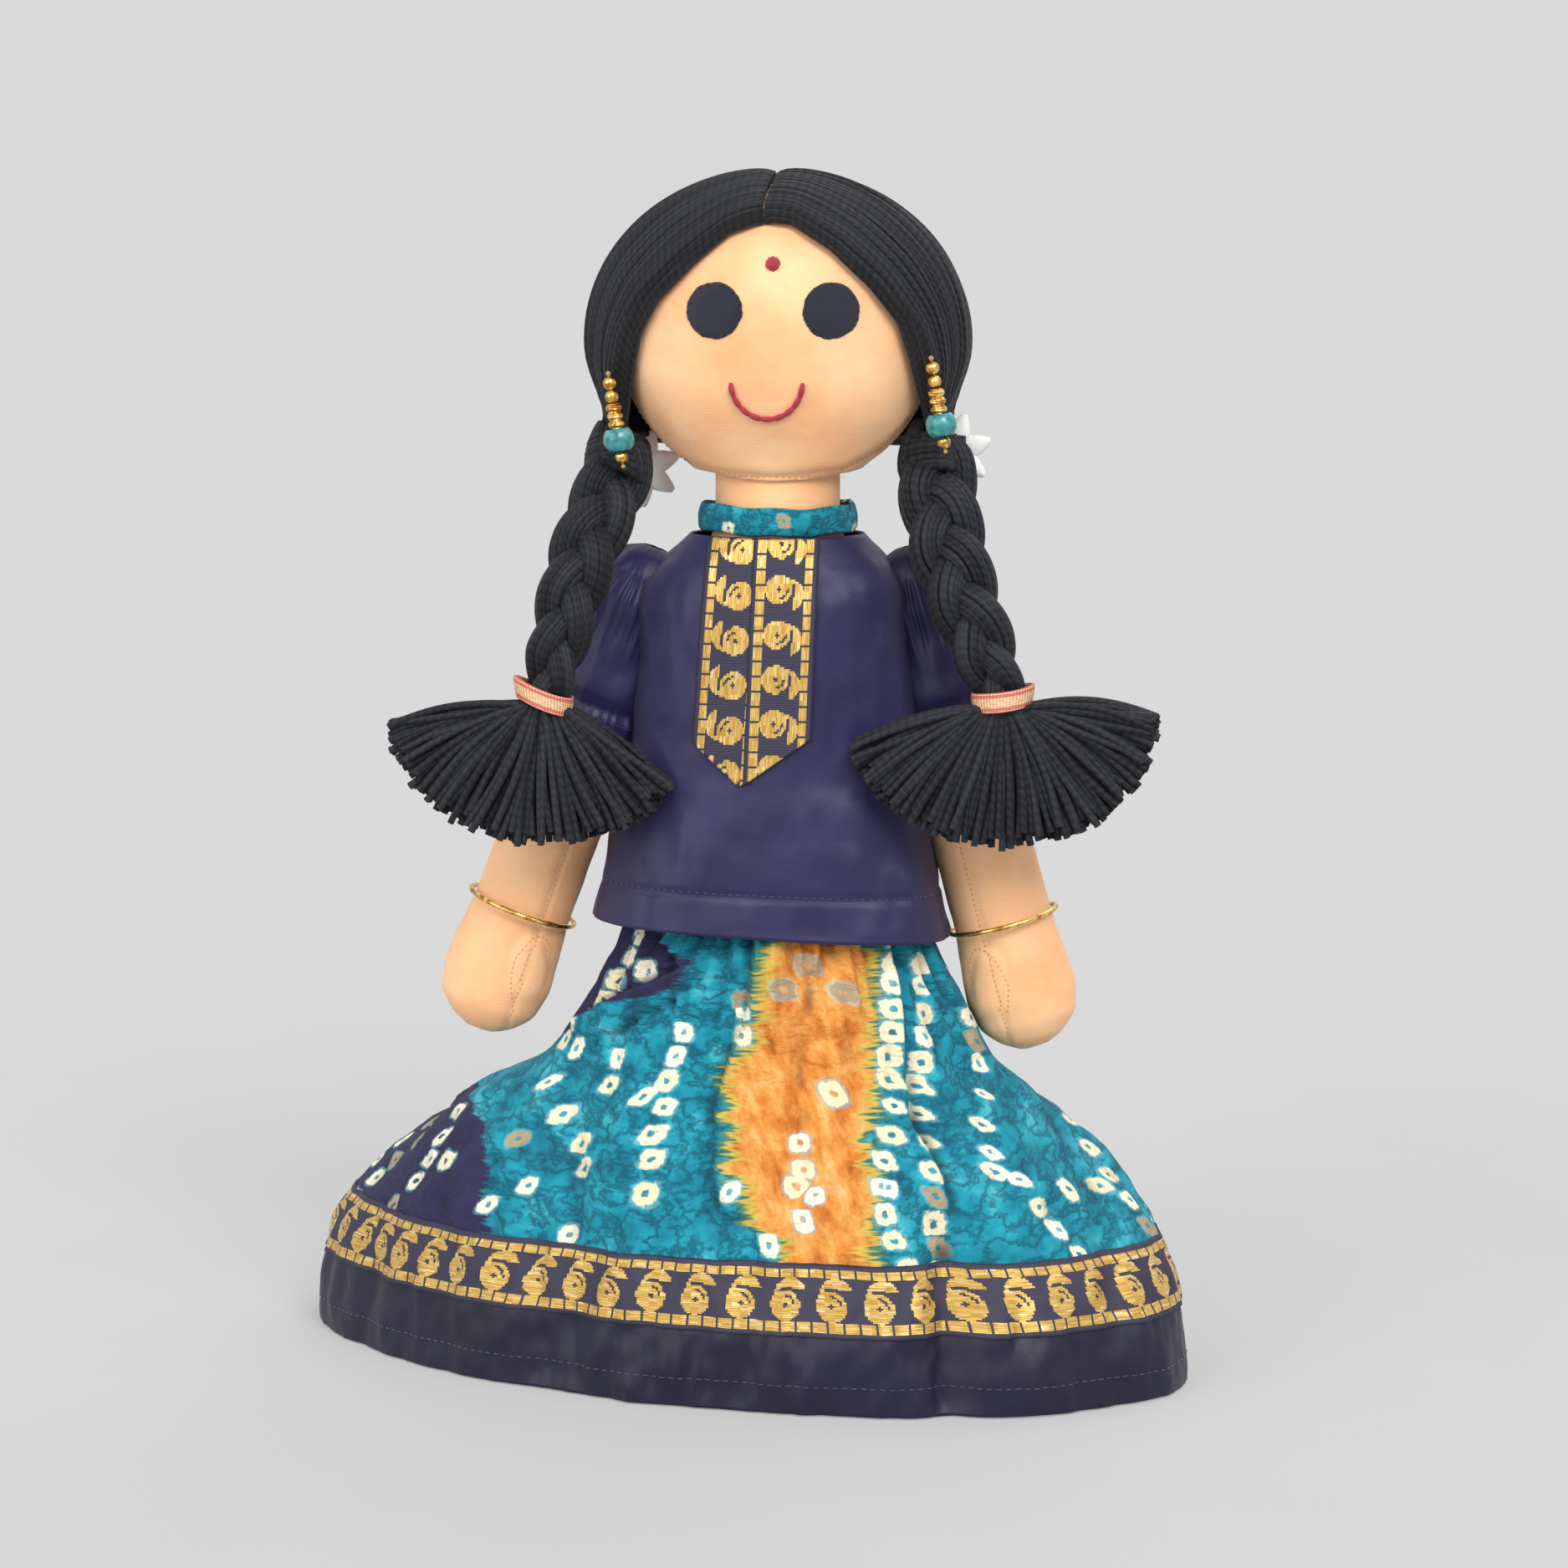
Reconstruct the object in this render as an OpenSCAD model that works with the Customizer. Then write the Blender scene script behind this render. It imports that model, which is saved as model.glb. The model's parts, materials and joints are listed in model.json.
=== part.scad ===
// Stuffed cotton doll in Rajasthani dress, standing on the hem of its skirt.
// The origin is on the floor under the neck. +Z is up, the doll looks along -Y, and
// left and right are the doll's own, so its left arm is on +X.

/* [Head] */
// Width of the stuffed head across the cheeks
head_w = 89; // [76:1:108]
// Depth of the stuffed head, face to back
head_d = 68; // [56:1:82]
// Height of the stuffed head, chin to crown
head_h = 84; // [70:1:100]
// Height of the chin over the shoulder pivots
chin_rise = 31; // [28:1:38]
// Thickness of the yarn hair at the sides
hair_side = 9.4; // [6:0.2:12]
// Thickness of the yarn hair on the crown
hair_top = 5.5; // [3:0.5:8]
// Thickness of the yarn hair at the back
hair_back = 8; // [5:0.5:10]
// Diameter of a felt eye
eye_d = 15.7; // [10:0.1:19]
// Distance between the eye centres
eye_gap = 32; // [24:1:38]
// Width of the embroidered mouth
mouth_w = 18.8; // [12:0.2:24]
// Length of a flower petal
petal_l = 9.6; // [6:0.2:11]

/* [Braids] */
// Half the width of a braid at its fullest
braid_r = 12; // [9:0.5:13]
// Height from the braid's pivot down to its tie
braid_drop = 60; // [50:1:66]
// Height of a woven hair tie
tie_h = 5.6; // [3:0.2:8]
// Length of the cut yarn below a tie
tassel_l = 41; // [28:1:46]

/* [Earrings] */
// Diameter of the barrel-shaped teal bead
teal_d = 8.6; // [6:0.2:9.4]
// Diameter of a round gold bead
gold_d = 3.7; // [3:0.1:4.2]
// Length of the gold tube
tube_l = 6.9; // [5:0.1:8]

/* [Body] */
// Height of the hip pivots over the floor
hip_h = 122; // [108:1:146]
// Height of the shoulder pivots over the hip pivots
torso_h = 93; // [85:1:112]
// Width of the stuffed body at the waist
torso_w = 67; // [58:1:80]
// Depth of the stuffed body at the waist
torso_d = 45; // [38:1:54]
// Diameter of the neck
neck_d = 35.2; // [30:0.2:38]
// Thickness of the cotton covers
cover_t = 0.8; // [0.5:0.1:1.2]

/* [Arms] */
// Length of an arm from its pivot to the tip of the hand
arm_l = 132.5; // [118:0.5:140]
// Width of the forearm
arm_w = 28.2; // [24:0.2:30]
// Depth of the forearm
arm_d = 24.6; // [20:0.2:28]
// Distance from the side of the tunic hem to the tip of the right hand
right_hand_out = 39.4; // [34:0.2:60]
// Distance from the side of the tunic hem to the tip of the left hand
left_hand_out = 26.4; // [24:0.2:60]
// Length of a sleeve below the shoulder pivot
sleeve_l = 41; // [30:1:60]
// Diameter of a bangle's wire
bangle_wire = 1.4; // [1:0.1:2]

/* [Legs] */
// Diameter of a leg
leg_d = 28; // [22:1:30]
// Distance between the hip pivots
hip_gap = 34; // [32:1:36]
// Length of a foot
foot_l = 36; // [30:1:44]
// Height of the soles over the floor
sole_lift = 3; // [3:0.5:5]

/* [Tunic] */
// Height from the shoulder pivots down to the hem
tunic_l = 92; // [84:1:100]
// Thickness of the satin with its lining
satin_t = 1.2; // [0.8:0.1:1.4]
// Width of one placket ribbon on the chest
placket_w = 16.3; // [12:0.1:19]
// Sideways lean of the placket at its point
placket_lean = -6; // [-8:0.5:8]
// Thickness of the woven ribbon
ribbon_t = 0.8; // [0.4:0.1:1.2]
// Height of the collar band
collar_h = 7.8; // [5:0.2:9]

/* [Skirt] */
// Long width of the hem oval
hem_w = 264; // [220:2:320]
// Short width of the hem oval
hem_d = 148; // [130:2:190]
// Turn of the hem oval about the vertical
hem_turn = -21; // [-30:1:0]
// Sideways place of the hem oval's centre
hem_shift = -10; // [-14:1:6]
// Thickness of the pleated skirt cloth
skirt_t = 1.6; // [1:0.1:2.4]
// Height of the satin hem band, up to its joint with the cotton
hem_band_h = 31; // [24:1:36]
// Height of the ribbon's lower edge over the floor
ribbon_z = 21.5; // [14:0.5:24]
// Width of the woven border ribbon
ribbon_w = 19; // [12:0.5:22]
// Height of the elasticated waistband
waistband_h = 10; // [8:0.5:12]

/* [Hidden] */
// Gap between two pieces of cloth that lie on each other
lay = 0.1;
// Gap between a ribbon and the sloping cloth under it
ribbon_gap = 0.3;
// Gap between pieces that move past each other
free = 0.5;
// Number of points in an oval of the body, and of the wider skirt
oval_n = 24;
skirt_n = 48;
$fn = 96;

shoulder_z = hip_h + torso_h;
chin_z = shoulder_z + chin_rise;
head_z = chin_z + head_h / 2;
neck_r = neck_d / 2;
// The neck stands this far inside the head
neck_in = 16;

// Body levels over the shoulder pivots: height, share of the waist's half width, share of its half depth
body = [
    [-75, 1.00, 1.00], [-55, 1.00, 1.00], [-45, 0.94, 0.97], [-35, 0.835, 0.95], [-25, 0.785, 0.93],
    [-15, 0.735, 0.91], [-8, 0.692, 0.89], [0, 0.668, 0.87], [10, 0.705, 0.84]
];
// How far the tunic stands off the body at the same levels: sideways and in depth
ease = [
    [9.5, 9.0], [4.5, 6.0], [3.0, 5.2], [2.3, 4.6], [2.0, 4.6], [1.9, 4.6], [1.8, 4.5], [1.8, 4.4],
    [3.4, 3.6]
];
waist_rx = torso_w / 2;
waist_ry = torso_d / 2;
// The tunic's hem and neck edge as ovals
tunic_hem = [13.5 + waist_rx, 12.5 + waist_ry];
tunic_neck = [6.4 + neck_r, 3.4 + neck_r];
tunic_neck_z = 19;

// The arms hang beside the tunic with this much room
sleeve_r = arm_w / 2 + 1.2;
shoulder_x = body[7][1] * waist_rx + ease[7][0] + sleeve_r + free;
shoulder_y = 4;
right_tilt = asin((tunic_hem[0] + right_hand_out - shoulder_x) / arm_l);
left_tilt = asin((tunic_hem[0] + left_hand_out - shoulder_x) / arm_l);
bangle_r = arm_w / 2 + bangle_wire / 2 + 0.8;
bangle_at = arm_l - 37.5;

// Skirt levels
band_z = hip_h + 19;
knee_z = shoulder_z - arm_l * cos(left_tilt) - 4;
knee = [tunic_hem[0] + left_hand_out - 8.4, waist_ry + 15.5];
skirt_levels = [for (z = [0, 10, 21, 31, 42, 55, 64, 74]) z * knee_z / 86];
upper_levels = [for (t = [0, 0.25, 0.5, 0.75, 1]) knee_z + t * (band_z - knee_z)];

hair_r = [head_w / 2 + hair_side, head_d / 2 + hair_back, head_h / 2 + hair_top];
// The face shows through a round opening in the hair, centred below the middle of the head
face_r = head_w / 2 + 1;
face_z = head_z - 10;
// The braids turn on balls under the gathered hair
braid_x = head_w / 2 + 1.5;
braid_z = chin_z + 4;
braid_ball = 9.5;
tie_z = braid_z - braid_drop;
tie_x = braid_x + 17.5;
braid_y = -3;
braid_front = -31;
// Middle line of a braid: share of the drop, share of the way out, depth in front of the neck, and share
// of the full width
braid_path = [
    [1.00, 1.00, braid_front, 0.75], [0.85, 0.82, braid_front, 0.86], [0.67, 0.58, braid_front, 0.98],
    [0.48, 0.40, -30.5, 1.0], [0.32, 0.26, -26, 0.98], [0.15, 0.12, -16, 0.92]
];
// A braid is flatter than it is wide
braid_flat = 0.72;
// Thickness of a tassel, and half its width where it leaves the tie
tassel_d = 12;
tassel_root = 7;
// The hair reaches this far below the middle of the head
hair_drop = 23;
// Half the width of the parting's thread, and of the parting
parting_thread = 0.4;
parting = 0.6;
// Room between the head and the hair on it
hair_gap = 0.2;

// Room behind an earring's beads, and above the first one
earring_gap = 0.8;
// The earrings hang from these points and lean towards the doll's left
left_ear = earring_at(head_w / 2 - 1.2, head_z - 4.5);
right_ear = earring_at(-head_w / 2 - 1.3, head_z - 9);
earring_lean = 9;
thread_d = 0.6;
teal_h = 6;
// Distances below the knot: two gold beads, the tube, the teal bead and a last gold bead
bead_1 = earring_gap + gold_d / 2;
bead_2 = bead_1 + gold_d + lay;
tube_at = bead_2 + gold_d / 2 + tube_l / 2 + lay;
teal_at = tube_at + tube_l / 2 + teal_h / 2 + lay;
bead_3 = teal_at + teal_h / 2 + gold_d / 2 + lay;
thread_l = bead_3 + gold_d / 2 + thread_d;

// Arm levels from the hand up: distance below the pivot, then the change of half width and of half depth
arm_levels = [
    [arm_l, -10, -9], [arm_l - 2.5, -4.8, -4.6], [arm_l - 7.5, 0, -1.6], [arm_l - 16, 1.9, 0],
    [arm_l - 28, 0.9, 0.2], [bangle_at, 0, 0], [arm_l - 55, 0, 0], [sleeve_l, 0.5, 0.3], [10, -0.1, -0.2],
    [0, -0.6, -0.6]
];
arm_top = arm_w / 2 - 0.6;
// A puffed sleeve: distance below the pivot and how far it stands off the arm
sleeve_levels = [[sleeve_l, 1.7], [sleeve_l - 6, 2.8], [sleeve_l - 16, 2.4], [10, 1.3], [0, 1.2]];
// The round tops of arms and legs have rings at these angles
dome = [28, 56, 78];

// The waistband's wall, and the channel in it that holds the elastic
waistband_in = 0.3;
waistband_out = 3.5;
channel_in = 1.2;
channel_out = 2.6;
channel_z = 1.5;
elastic_h = waistband_h - 2 * channel_z;

// ---- Helpers ----

// Points of a level oval about c with half widths rx and ry, turned about the vertical
function oval(c, rx, ry, turn = 0, n = oval_n) = [
    for (i = [0:n - 1])
        let (a = 360 * i / n, x = rx * cos(a), y = ry * sin(a))
            [c[0] + x * cos(turn) - y * sin(turn), c[1] + x * sin(turn) + y * cos(turn), c[2]]
];

// A value between a and b
function mix(a, b, t) = a + (b - a) * t;

// A closed solid through level ovals listed from the bottom up; with loop, from the bottom up and
// back down inside, which makes an open tube with a wall
module skin(rings, loop = false) {
    n = len(rings[0]);
    m = len(rings);
    walls = [
        for (k = [0:m - (loop ? 1 : 2)], i = [0:n - 1])
            let (low = k * n, up = (k + 1) % m * n, next = (i + 1) % n)
                each [[up + i, up + next, low + next], [up + i, low + next, low + i]]
    ];
    ends = loop ? [] : [[for (i = [0:n - 1]) i], [for (i = [n - 1:-1:0]) (m - 1) * n + i]];
    polyhedron(points = [for (r = rings) each r], faces = concat(walls, ends), convexity = 6);
}

function backwards(list) = [for (i = [len(list) - 1:-1:0]) list[i]];

// ---- Torso ----

// Ovals of the stuffed body, drawn in by inset, from its flat seat up to the top of the neck
function torso_rings(inset) = concat(
    [oval([0, 0, shoulder_z - 78 + inset], waist_rx * 0.9 - inset, waist_ry * 0.9 - inset)],
    [for (b = body) oval([0, 0, shoulder_z + b[0]], b[1] * waist_rx - inset, b[2] * waist_ry - inset)],
    [oval([0, 0, shoulder_z + 14], neck_r + 3.4 - inset, neck_r + 0.8 - inset)],
    [oval([0, 0, shoulder_z + 19], neck_r - inset, neck_r - inset)],
    [oval([0, 0, chin_z + neck_in - inset], neck_r - inset, neck_r - inset)]
);

module torso_cover() {
    color("peachpuff")
    difference() {
        skin(torso_rings(0));
        skin(torso_rings(cover_t));
    }
}

module torso_stuffing() {
    color("white") skin(torso_rings(cover_t + lay));
}

// ---- Tunic ----

// Ovals of the tunic's outer face, moved out by grow, from the hem up to the neck edge
function tunic_rings(grow) = concat(
    [oval([0, 0, shoulder_z - tunic_l], tunic_hem[0] + grow, tunic_hem[1] + grow)],
    [
        for (i = [0:len(body) - 1])
            oval([0, 0, shoulder_z + body[i][0]],
                body[i][1] * waist_rx + ease[i][0] + grow, body[i][2] * waist_ry + ease[i][1] + grow)
    ],
    [oval([0, 0, shoulder_z + 16], neck_r + 9.7 + grow, neck_r + 4.2 + grow)],
    [oval([0, 0, shoulder_z + tunic_neck_z], tunic_neck[0] + grow, tunic_neck[1] + grow)]
);

module tunic_shell(inner, outer) {
    skin(concat(tunic_rings(outer), backwards(tunic_rings(inner))), loop = true);
}

// Everything in front of the side seams, or behind them
module half_space(front) {
    translate([-hem_w, front ? -2 * hem_d : 0, -1]) cube([2 * hem_w, 2 * hem_d, 2 * head_z]);
}

module tunic_front() {
    color("midnightblue")
    intersection() {
        tunic_shell(-satin_t, 0);
        half_space(true);
    }
}

module tunic_back() {
    color("midnightblue")
    intersection() {
        tunic_shell(-satin_t, 0);
        half_space(false);
    }
}

module collar_band() {
    base = shoulder_z + tunic_neck_z + lay;
    color("teal")
    skin([
        oval([0, 0, base], tunic_neck[0] - 1, tunic_neck[1] - 0.6),
        oval([0, 0, base + collar_h], tunic_neck[0] - 1.4, tunic_neck[1] - 1),
        oval([0, 0, base + collar_h], tunic_neck[0] - 2.6, tunic_neck[1] - 2.2),
        oval([0, 0, base], tunic_neck[0] - 2.2, tunic_neck[1] - 1.8)
    ], loop = true);
}

// One of the two ribbon strips down the chest, cut to a shared point at the bottom
module placket(side) {
    top = shoulder_z + tunic_neck_z;
    point = shoulder_z - 50;
    color("goldenrod")
    intersection() {
        tunic_shell(ribbon_gap, ribbon_gap + ribbon_t);
        translate([0, -lay, 0])
            rotate([90, 0, 0])
                linear_extrude(hem_d)
                    polygon([
                        [side * lay, top], [placket_lean + side * lay, point],
                        [placket_lean + side * placket_w, point + 15], [side * placket_w, top]
                    ]);
    }
}

module placket_left() {
    placket(1);
}

module placket_right() {
    placket(-1);
}

// ---- Skirt ----

// How far the skirt has opened out at height z, from 0 at the waistband to 1 at the knee and 2 at the hem
function flare(z) = z > knee_z
    ? pow((band_z - z) / (band_z - knee_z), 1.45)
    : 2 - pow(max(z, 0) / knee_z, 2.3);

// The oval of the skirt's outer face at height z, moved out by grow
function skirt_ring(z, grow) =
    let (
        f = flare(z), up = min(f, 1), down = max(f - 1, 0),
        rx = mix(mix(waist_rx + waistband_out, knee[0], up), hem_w / 2, down),
        ry = mix(mix(waist_ry + waistband_out, knee[1], up), hem_d / 2, down),
        part = up * 0.2 + down * 0.8
    )
    oval([hem_shift * part, 0, z], rx + grow, ry + grow, hem_turn * part, skirt_n);

// A stretch of the skirt between two heights, with its inner and outer faces offset
module skirt_stretch(levels, inner, outer) {
    skin(concat(
        [for (z = levels) skirt_ring(z, outer)],
        [for (z = backwards(levels)) skirt_ring(z, inner)]
    ), loop = true);
}

module skirt_cloth() {
    levels = concat(
        [hem_band_h + lay], [for (z = skirt_levels) if (z > hem_band_h + 4) z],
        [for (z = upper_levels) if (z < band_z) z], [band_z - lay]
    );
    color("teal") skirt_stretch(levels, -skirt_t, 0);
}

// The hem band's lower edge is one flat face on the floor
module skirt_hem_band() {
    levels = [for (i = [0:3]) hem_band_h * i / 3];
    color("midnightblue")
    difference() {
        skin([for (z = levels) skirt_ring(z, 0)]);
        skin([for (z = concat([-1], levels, [hem_band_h + 1])) skirt_ring(z, -skirt_t)]);
    }
}

module skirt_ribbon() {
    color("goldenrod")
    skirt_stretch([ribbon_z, hem_band_h, ribbon_z + ribbon_w], ribbon_gap, ribbon_gap + ribbon_t);
}

module waistband_ring(inner, outer, low, high) {
    skin([
        for (r = [[outer, low], [outer, high], [inner, high], [inner, low]])
            oval([0, 0, band_z + r[1]], waist_rx + r[0], waist_ry + r[0])
    ], loop = true);
}

module skirt_waistband() {
    color("teal")
    difference() {
        waistband_ring(waistband_in, waistband_out, 0, waistband_h);
        waistband_ring(channel_in, channel_out, channel_z - lay, channel_z + elastic_h + lay);
    }
}

module waist_elastic() {
    color("white") waistband_ring(channel_in + lay, channel_out - lay, channel_z, channel_z + elastic_h);
}

// ---- Head ----

// The stuffed head, grown on every side
module head_form(grow) {
    translate([0, 0, head_z])
        scale([head_w / 2 + grow, head_d / 2 + grow, head_h / 2 + grow])
            sphere(1);
}

// The neck's seat in the head
module neck_seat() {
    translate([0, 0, chin_z - 10]) cylinder(r = neck_r + free, h = 10 + neck_in + free);
}

module head_shell(front) {
    difference() {
        intersection() {
            head_form(0);
            half_space(front);
        }
        head_form(-cover_t);
        neck_seat();
    }
}

module head_front() {
    color("peachpuff") head_shell(true);
}

module head_back() {
    color("peachpuff") head_shell(false);
}

module head_stuffing() {
    color("white")
    difference() {
        head_form(-cover_t - lay);
        neck_seat();
    }
}

// A flat outline in X and Z laid on the face as a layer of thickness t
module on_face(t) {
    intersection() {
        difference() {
            head_form(lay + t);
            head_form(lay);
        }
        translate([0, 0, head_z]) rotate([90, 0, 0]) linear_extrude(head_d) children();
    }
}

module eye(side) {
    color("#1c1c2e") on_face(1.2) translate([side * eye_gap / 2, 8.5]) circle(d = eye_d);
}

module eye_left() {
    eye(1);
}

module eye_right() {
    eye(-1);
}

module bindi() {
    color("crimson") on_face(1.4) translate([0, 21]) circle(d = 3.4);
}

// A smile of chain stitch: the lower half of a ring
module mouth() {
    r = mouth_w / 2;
    stitch = 1.9;
    color("crimson")
    on_face(1.1)
        translate([0, -12])
            difference() {
                circle(r + stitch / 2);
                circle(r - stitch / 2);
                translate([-head_w / 2, -r * 0.12]) square(head_w);
            }
}

// The yarn hair of the left side: a cap that is open over the face, and the gathered end above the braid
module hair() {
    difference() {
        union() {
            difference() {
                translate([0, 0, head_z]) scale(hair_r) sphere(1);
                translate([0, -6, face_z]) rotate([90, 0, 0]) cylinder(r = face_r, h = head_d);
                translate([-head_w, -head_d, 0]) cube([2 * head_w, 2 * head_d, head_z - hair_drop]);
            }
            translate([braid_x, -1, head_z - 26]) scale([9, 10, 12]) sphere(1);
        }
        head_form(hair_gap);
        translate([braid_x, braid_y, braid_z]) sphere(braid_ball + free);
        translate([parting - 2 * head_w, -head_d, 0]) cube([2 * head_w, 2 * head_d, 2 * head_z]);
    }
}

module hair_left() {
    color("#232528") hair();
}

module hair_right() {
    color("#232528") mirror([1, 0, 0]) hair();
}

// The thread that holds the parting, laid between the two halves of the hair
module parting_stitch() {
    color("dimgray")
    difference() {
        intersection() {
            translate([0, 0, head_z]) scale(hair_r) sphere(1);
            translate([-parting_thread, -head_d, 0]) cube([2 * parting_thread, 2 * head_d, 2 * head_z]);
        }
        head_form(hair_gap);
        translate([0, -6, face_z]) rotate([90, 0, 0]) cylinder(r = face_r, h = head_d);
        translate([-head_w, -head_d, 0]) cube([2 * head_w, 2 * head_d, head_z - hair_drop]);
    }
}

// A white flower of five pointed petals about c, facing the front
module flower(c) {
    color("white")
    translate(c)
        rotate([90, 0, 0]) {
            linear_extrude(1.2, center = true)
                for (a = [90:72:400])
                    rotate(a)
                        intersection() {
                            translate([petal_l / 2 + 1, petal_l / 2]) circle(petal_l * 0.72);
                            translate([petal_l / 2 + 1, -petal_l / 2]) circle(petal_l * 0.72);
                        }
            cylinder(r = 2, h = 3.2, center = true);
        }
}

module flower_left() {
    flower([braid_x + 3, 13, chin_z + 8.5]);
}

module flower_right() {
    flower([-braid_x + 6.5, 13, chin_z + 4]);
}

// ---- Braids ----

module braid(side) {
    color("#232528")
    union() {
        skin(concat(
            [
                for (p = braid_path)
                    oval(
                        [side * mix(braid_x, tie_x, p[1]), p[2], braid_z - p[0] * (braid_drop - tie_h / 2)],
                        braid_r * p[3], braid_r * braid_flat * p[3]
                    )
            ],
            [oval([side * braid_x, braid_y, braid_z], braid_ball - 1, braid_ball - 1.2)]
        ));
        translate([side * braid_x, braid_y, braid_z]) sphere(braid_ball);
    }
}

module braid_left() {
    braid(1);
}

module braid_right() {
    braid(-1);
}

// The woven tie, a short oval drum below the braid
module hair_tie(side) {
    color("gold")
    translate([side * tie_x, braid_front, tie_z])
        scale([1, 0.78, 1])
            cylinder(r = braid_r * 0.84, h = tie_h - 2 * lay, center = true);
}

module hair_tie_left() {
    hair_tie(1);
}

module hair_tie_right() {
    hair_tie(-1);
}

// The cut yarn, fanned between two directions measured from +X
module tassel(side, from, to) {
    color("#232528")
    translate([side * tie_x, braid_front + tassel_d / 2, tie_z - tie_h / 2])
        rotate([90, 0, 0])
            linear_extrude(tassel_d)
                intersection() {
                    polygon(concat(
                        [[tassel_root, 0], [-tassel_root, 0]],
                        [for (i = [0:12]) let (a = mix(from, to, i / 12)) tassel_l * [cos(a), sin(a)]]
                    ));
                    translate([-2 * tassel_l, -2 * tassel_l]) square([4 * tassel_l, 2 * tassel_l]);
                }
}

module tassel_left() {
    tassel(1, 196, 357);
}

module tassel_right() {
    tassel(-1, 188, 325);
}

// ---- Earrings ----

// The earring's pivot, just in front of the hair
function earring_at(x, z) =
    let (share = sqrt(1 - pow(x / hair_r[0], 2) - pow((z - head_z) / hair_r[2], 2)))
        [x, -hair_r[1] * share - gold_d / 2 - earring_gap, z];

// Puts a piece on an earring's thread at a distance below the knot
module on_thread(ear, drop) {
    translate(ear) rotate([0, -earring_lean, 0]) translate([0, 0, -drop]) children();
}

module thread_hole(h) {
    cylinder(d = thread_d + 0.2, h = h + 1, center = true);
}

module earring_thread(ear) {
    color("gold")
    on_thread(ear, 0) {
        sphere(0.7);
        translate([0, 0, -thread_l]) cylinder(d = thread_d, h = thread_l);
        translate([0, 0, -thread_l - 0.1]) sphere(thread_d);
    }
}

module earring_gold(ear) {
    color("gold")
    for (drop = [bead_1, bead_2, bead_3])
        on_thread(ear, drop)
            difference() {
                sphere(d = gold_d);
                thread_hole(gold_d);
            }
}

// A crimped tube with three rings
module earring_tube(ear) {
    color("gold")
    on_thread(ear, tube_at)
        rotate_extrude()
            difference() {
                union() {
                    translate([0, -tube_l / 2]) square([1.6, tube_l]);
                    for (i = [-1:1]) translate([1.2, i * tube_l / 3]) circle(r = tube_l / 6.6);
                }
                translate([-5, -tube_l]) square([5 + thread_d / 2 + 0.1, 2 * tube_l]);
                translate([0, tube_l / 2]) square(tube_l);
                translate([0, -tube_l * 1.5]) square(tube_l);
            }
}

module earring_teal(ear) {
    color("teal")
    on_thread(ear, teal_at)
        difference() {
            intersection() {
                sphere(d = teal_d);
                cylinder(d = teal_d + 1, h = teal_h, center = true);
            }
            thread_hole(teal_h);
        }
}

module earring_left_thread() {
    earring_thread(left_ear);
}

module earring_left_gold() {
    earring_gold(left_ear);
}

module earring_left_tube() {
    earring_tube(left_ear);
}

module earring_left_teal() {
    earring_teal(left_ear);
}

module earring_right_thread() {
    earring_thread(right_ear);
}

module earring_right_gold() {
    earring_gold(right_ear);
}

module earring_right_tube() {
    earring_tube(right_ear);
}

module earring_right_teal() {
    earring_teal(right_ear);
}

// ---- Arms ----

// Ovals of the arm, drawn in by inset; its top is round about the pivot
function arm_rings(inset) = concat(
    [
        for (i = [0:len(arm_levels) - 1])
            let (a = arm_levels[i])
                oval([0, 0, -a[0] + (i == 0 ? inset : 0)],
                    arm_w / 2 + a[1] - inset, arm_d / 2 + a[2] - inset)
    ],
    [
        for (turn = dome)
            oval([0, 0, (arm_top - inset) * sin(turn)],
                (arm_top - inset) * cos(turn), (arm_d / 2 - 0.6 - inset) * cos(turn))
    ]
);

// Places an arm or what is on it at a shoulder
module at_shoulder(side) {
    translate([side * shoulder_x, shoulder_y, shoulder_z])
        rotate([0, side > 0 ? -left_tilt : right_tilt, 0])
            children();
}

module arm_cover(side) {
    color("peachpuff")
    at_shoulder(side)
        difference() {
            skin(arm_rings(0));
            skin(arm_rings(cover_t));
        }
}

module arm_stuffing(side) {
    color("white") at_shoulder(side) skin(arm_rings(cover_t + lay));
}

function sleeve_rings(inset) = concat(
    [
        for (s = sleeve_levels)
            oval([0, 0, -s[0]], arm_w / 2 + s[1] - inset, arm_d / 2 + s[1] + 0.6 - inset)
    ],
    [
        for (turn = dome)
            oval([0, 0, (sleeve_r - inset) * sin(turn)],
                (sleeve_r - inset) * cos(turn), (arm_d / 2 + 1.8 - inset) * cos(turn))
    ]
);

module sleeve(side) {
    color("midnightblue")
    at_shoulder(side)
        difference() {
            skin(sleeve_rings(0));
            skin(sleeve_rings(satin_t));
            // The lower end is open
            translate([0, 0, -sleeve_l]) cube([2 * arm_w, 2 * arm_w, 0.02], center = true);
        }
}

module bangle(side) {
    color("gold")
    at_shoulder(side)
        translate([0, 0, -bangle_at])
            rotate_extrude()
                translate([bangle_r, 0]) circle(d = bangle_wire, $fn = 24);
}

module arm_left_cover() {
    arm_cover(1);
}

module arm_left_stuffing() {
    arm_stuffing(1);
}

module sleeve_left() {
    sleeve(1);
}

module bangle_left() {
    bangle(1);
}

module arm_right_cover() {
    arm_cover(-1);
}

module arm_right_stuffing() {
    arm_stuffing(-1);
}

module sleeve_right() {
    sleeve(-1);
}

module bangle_right() {
    bangle(-1);
}

// ---- Legs ----

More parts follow.
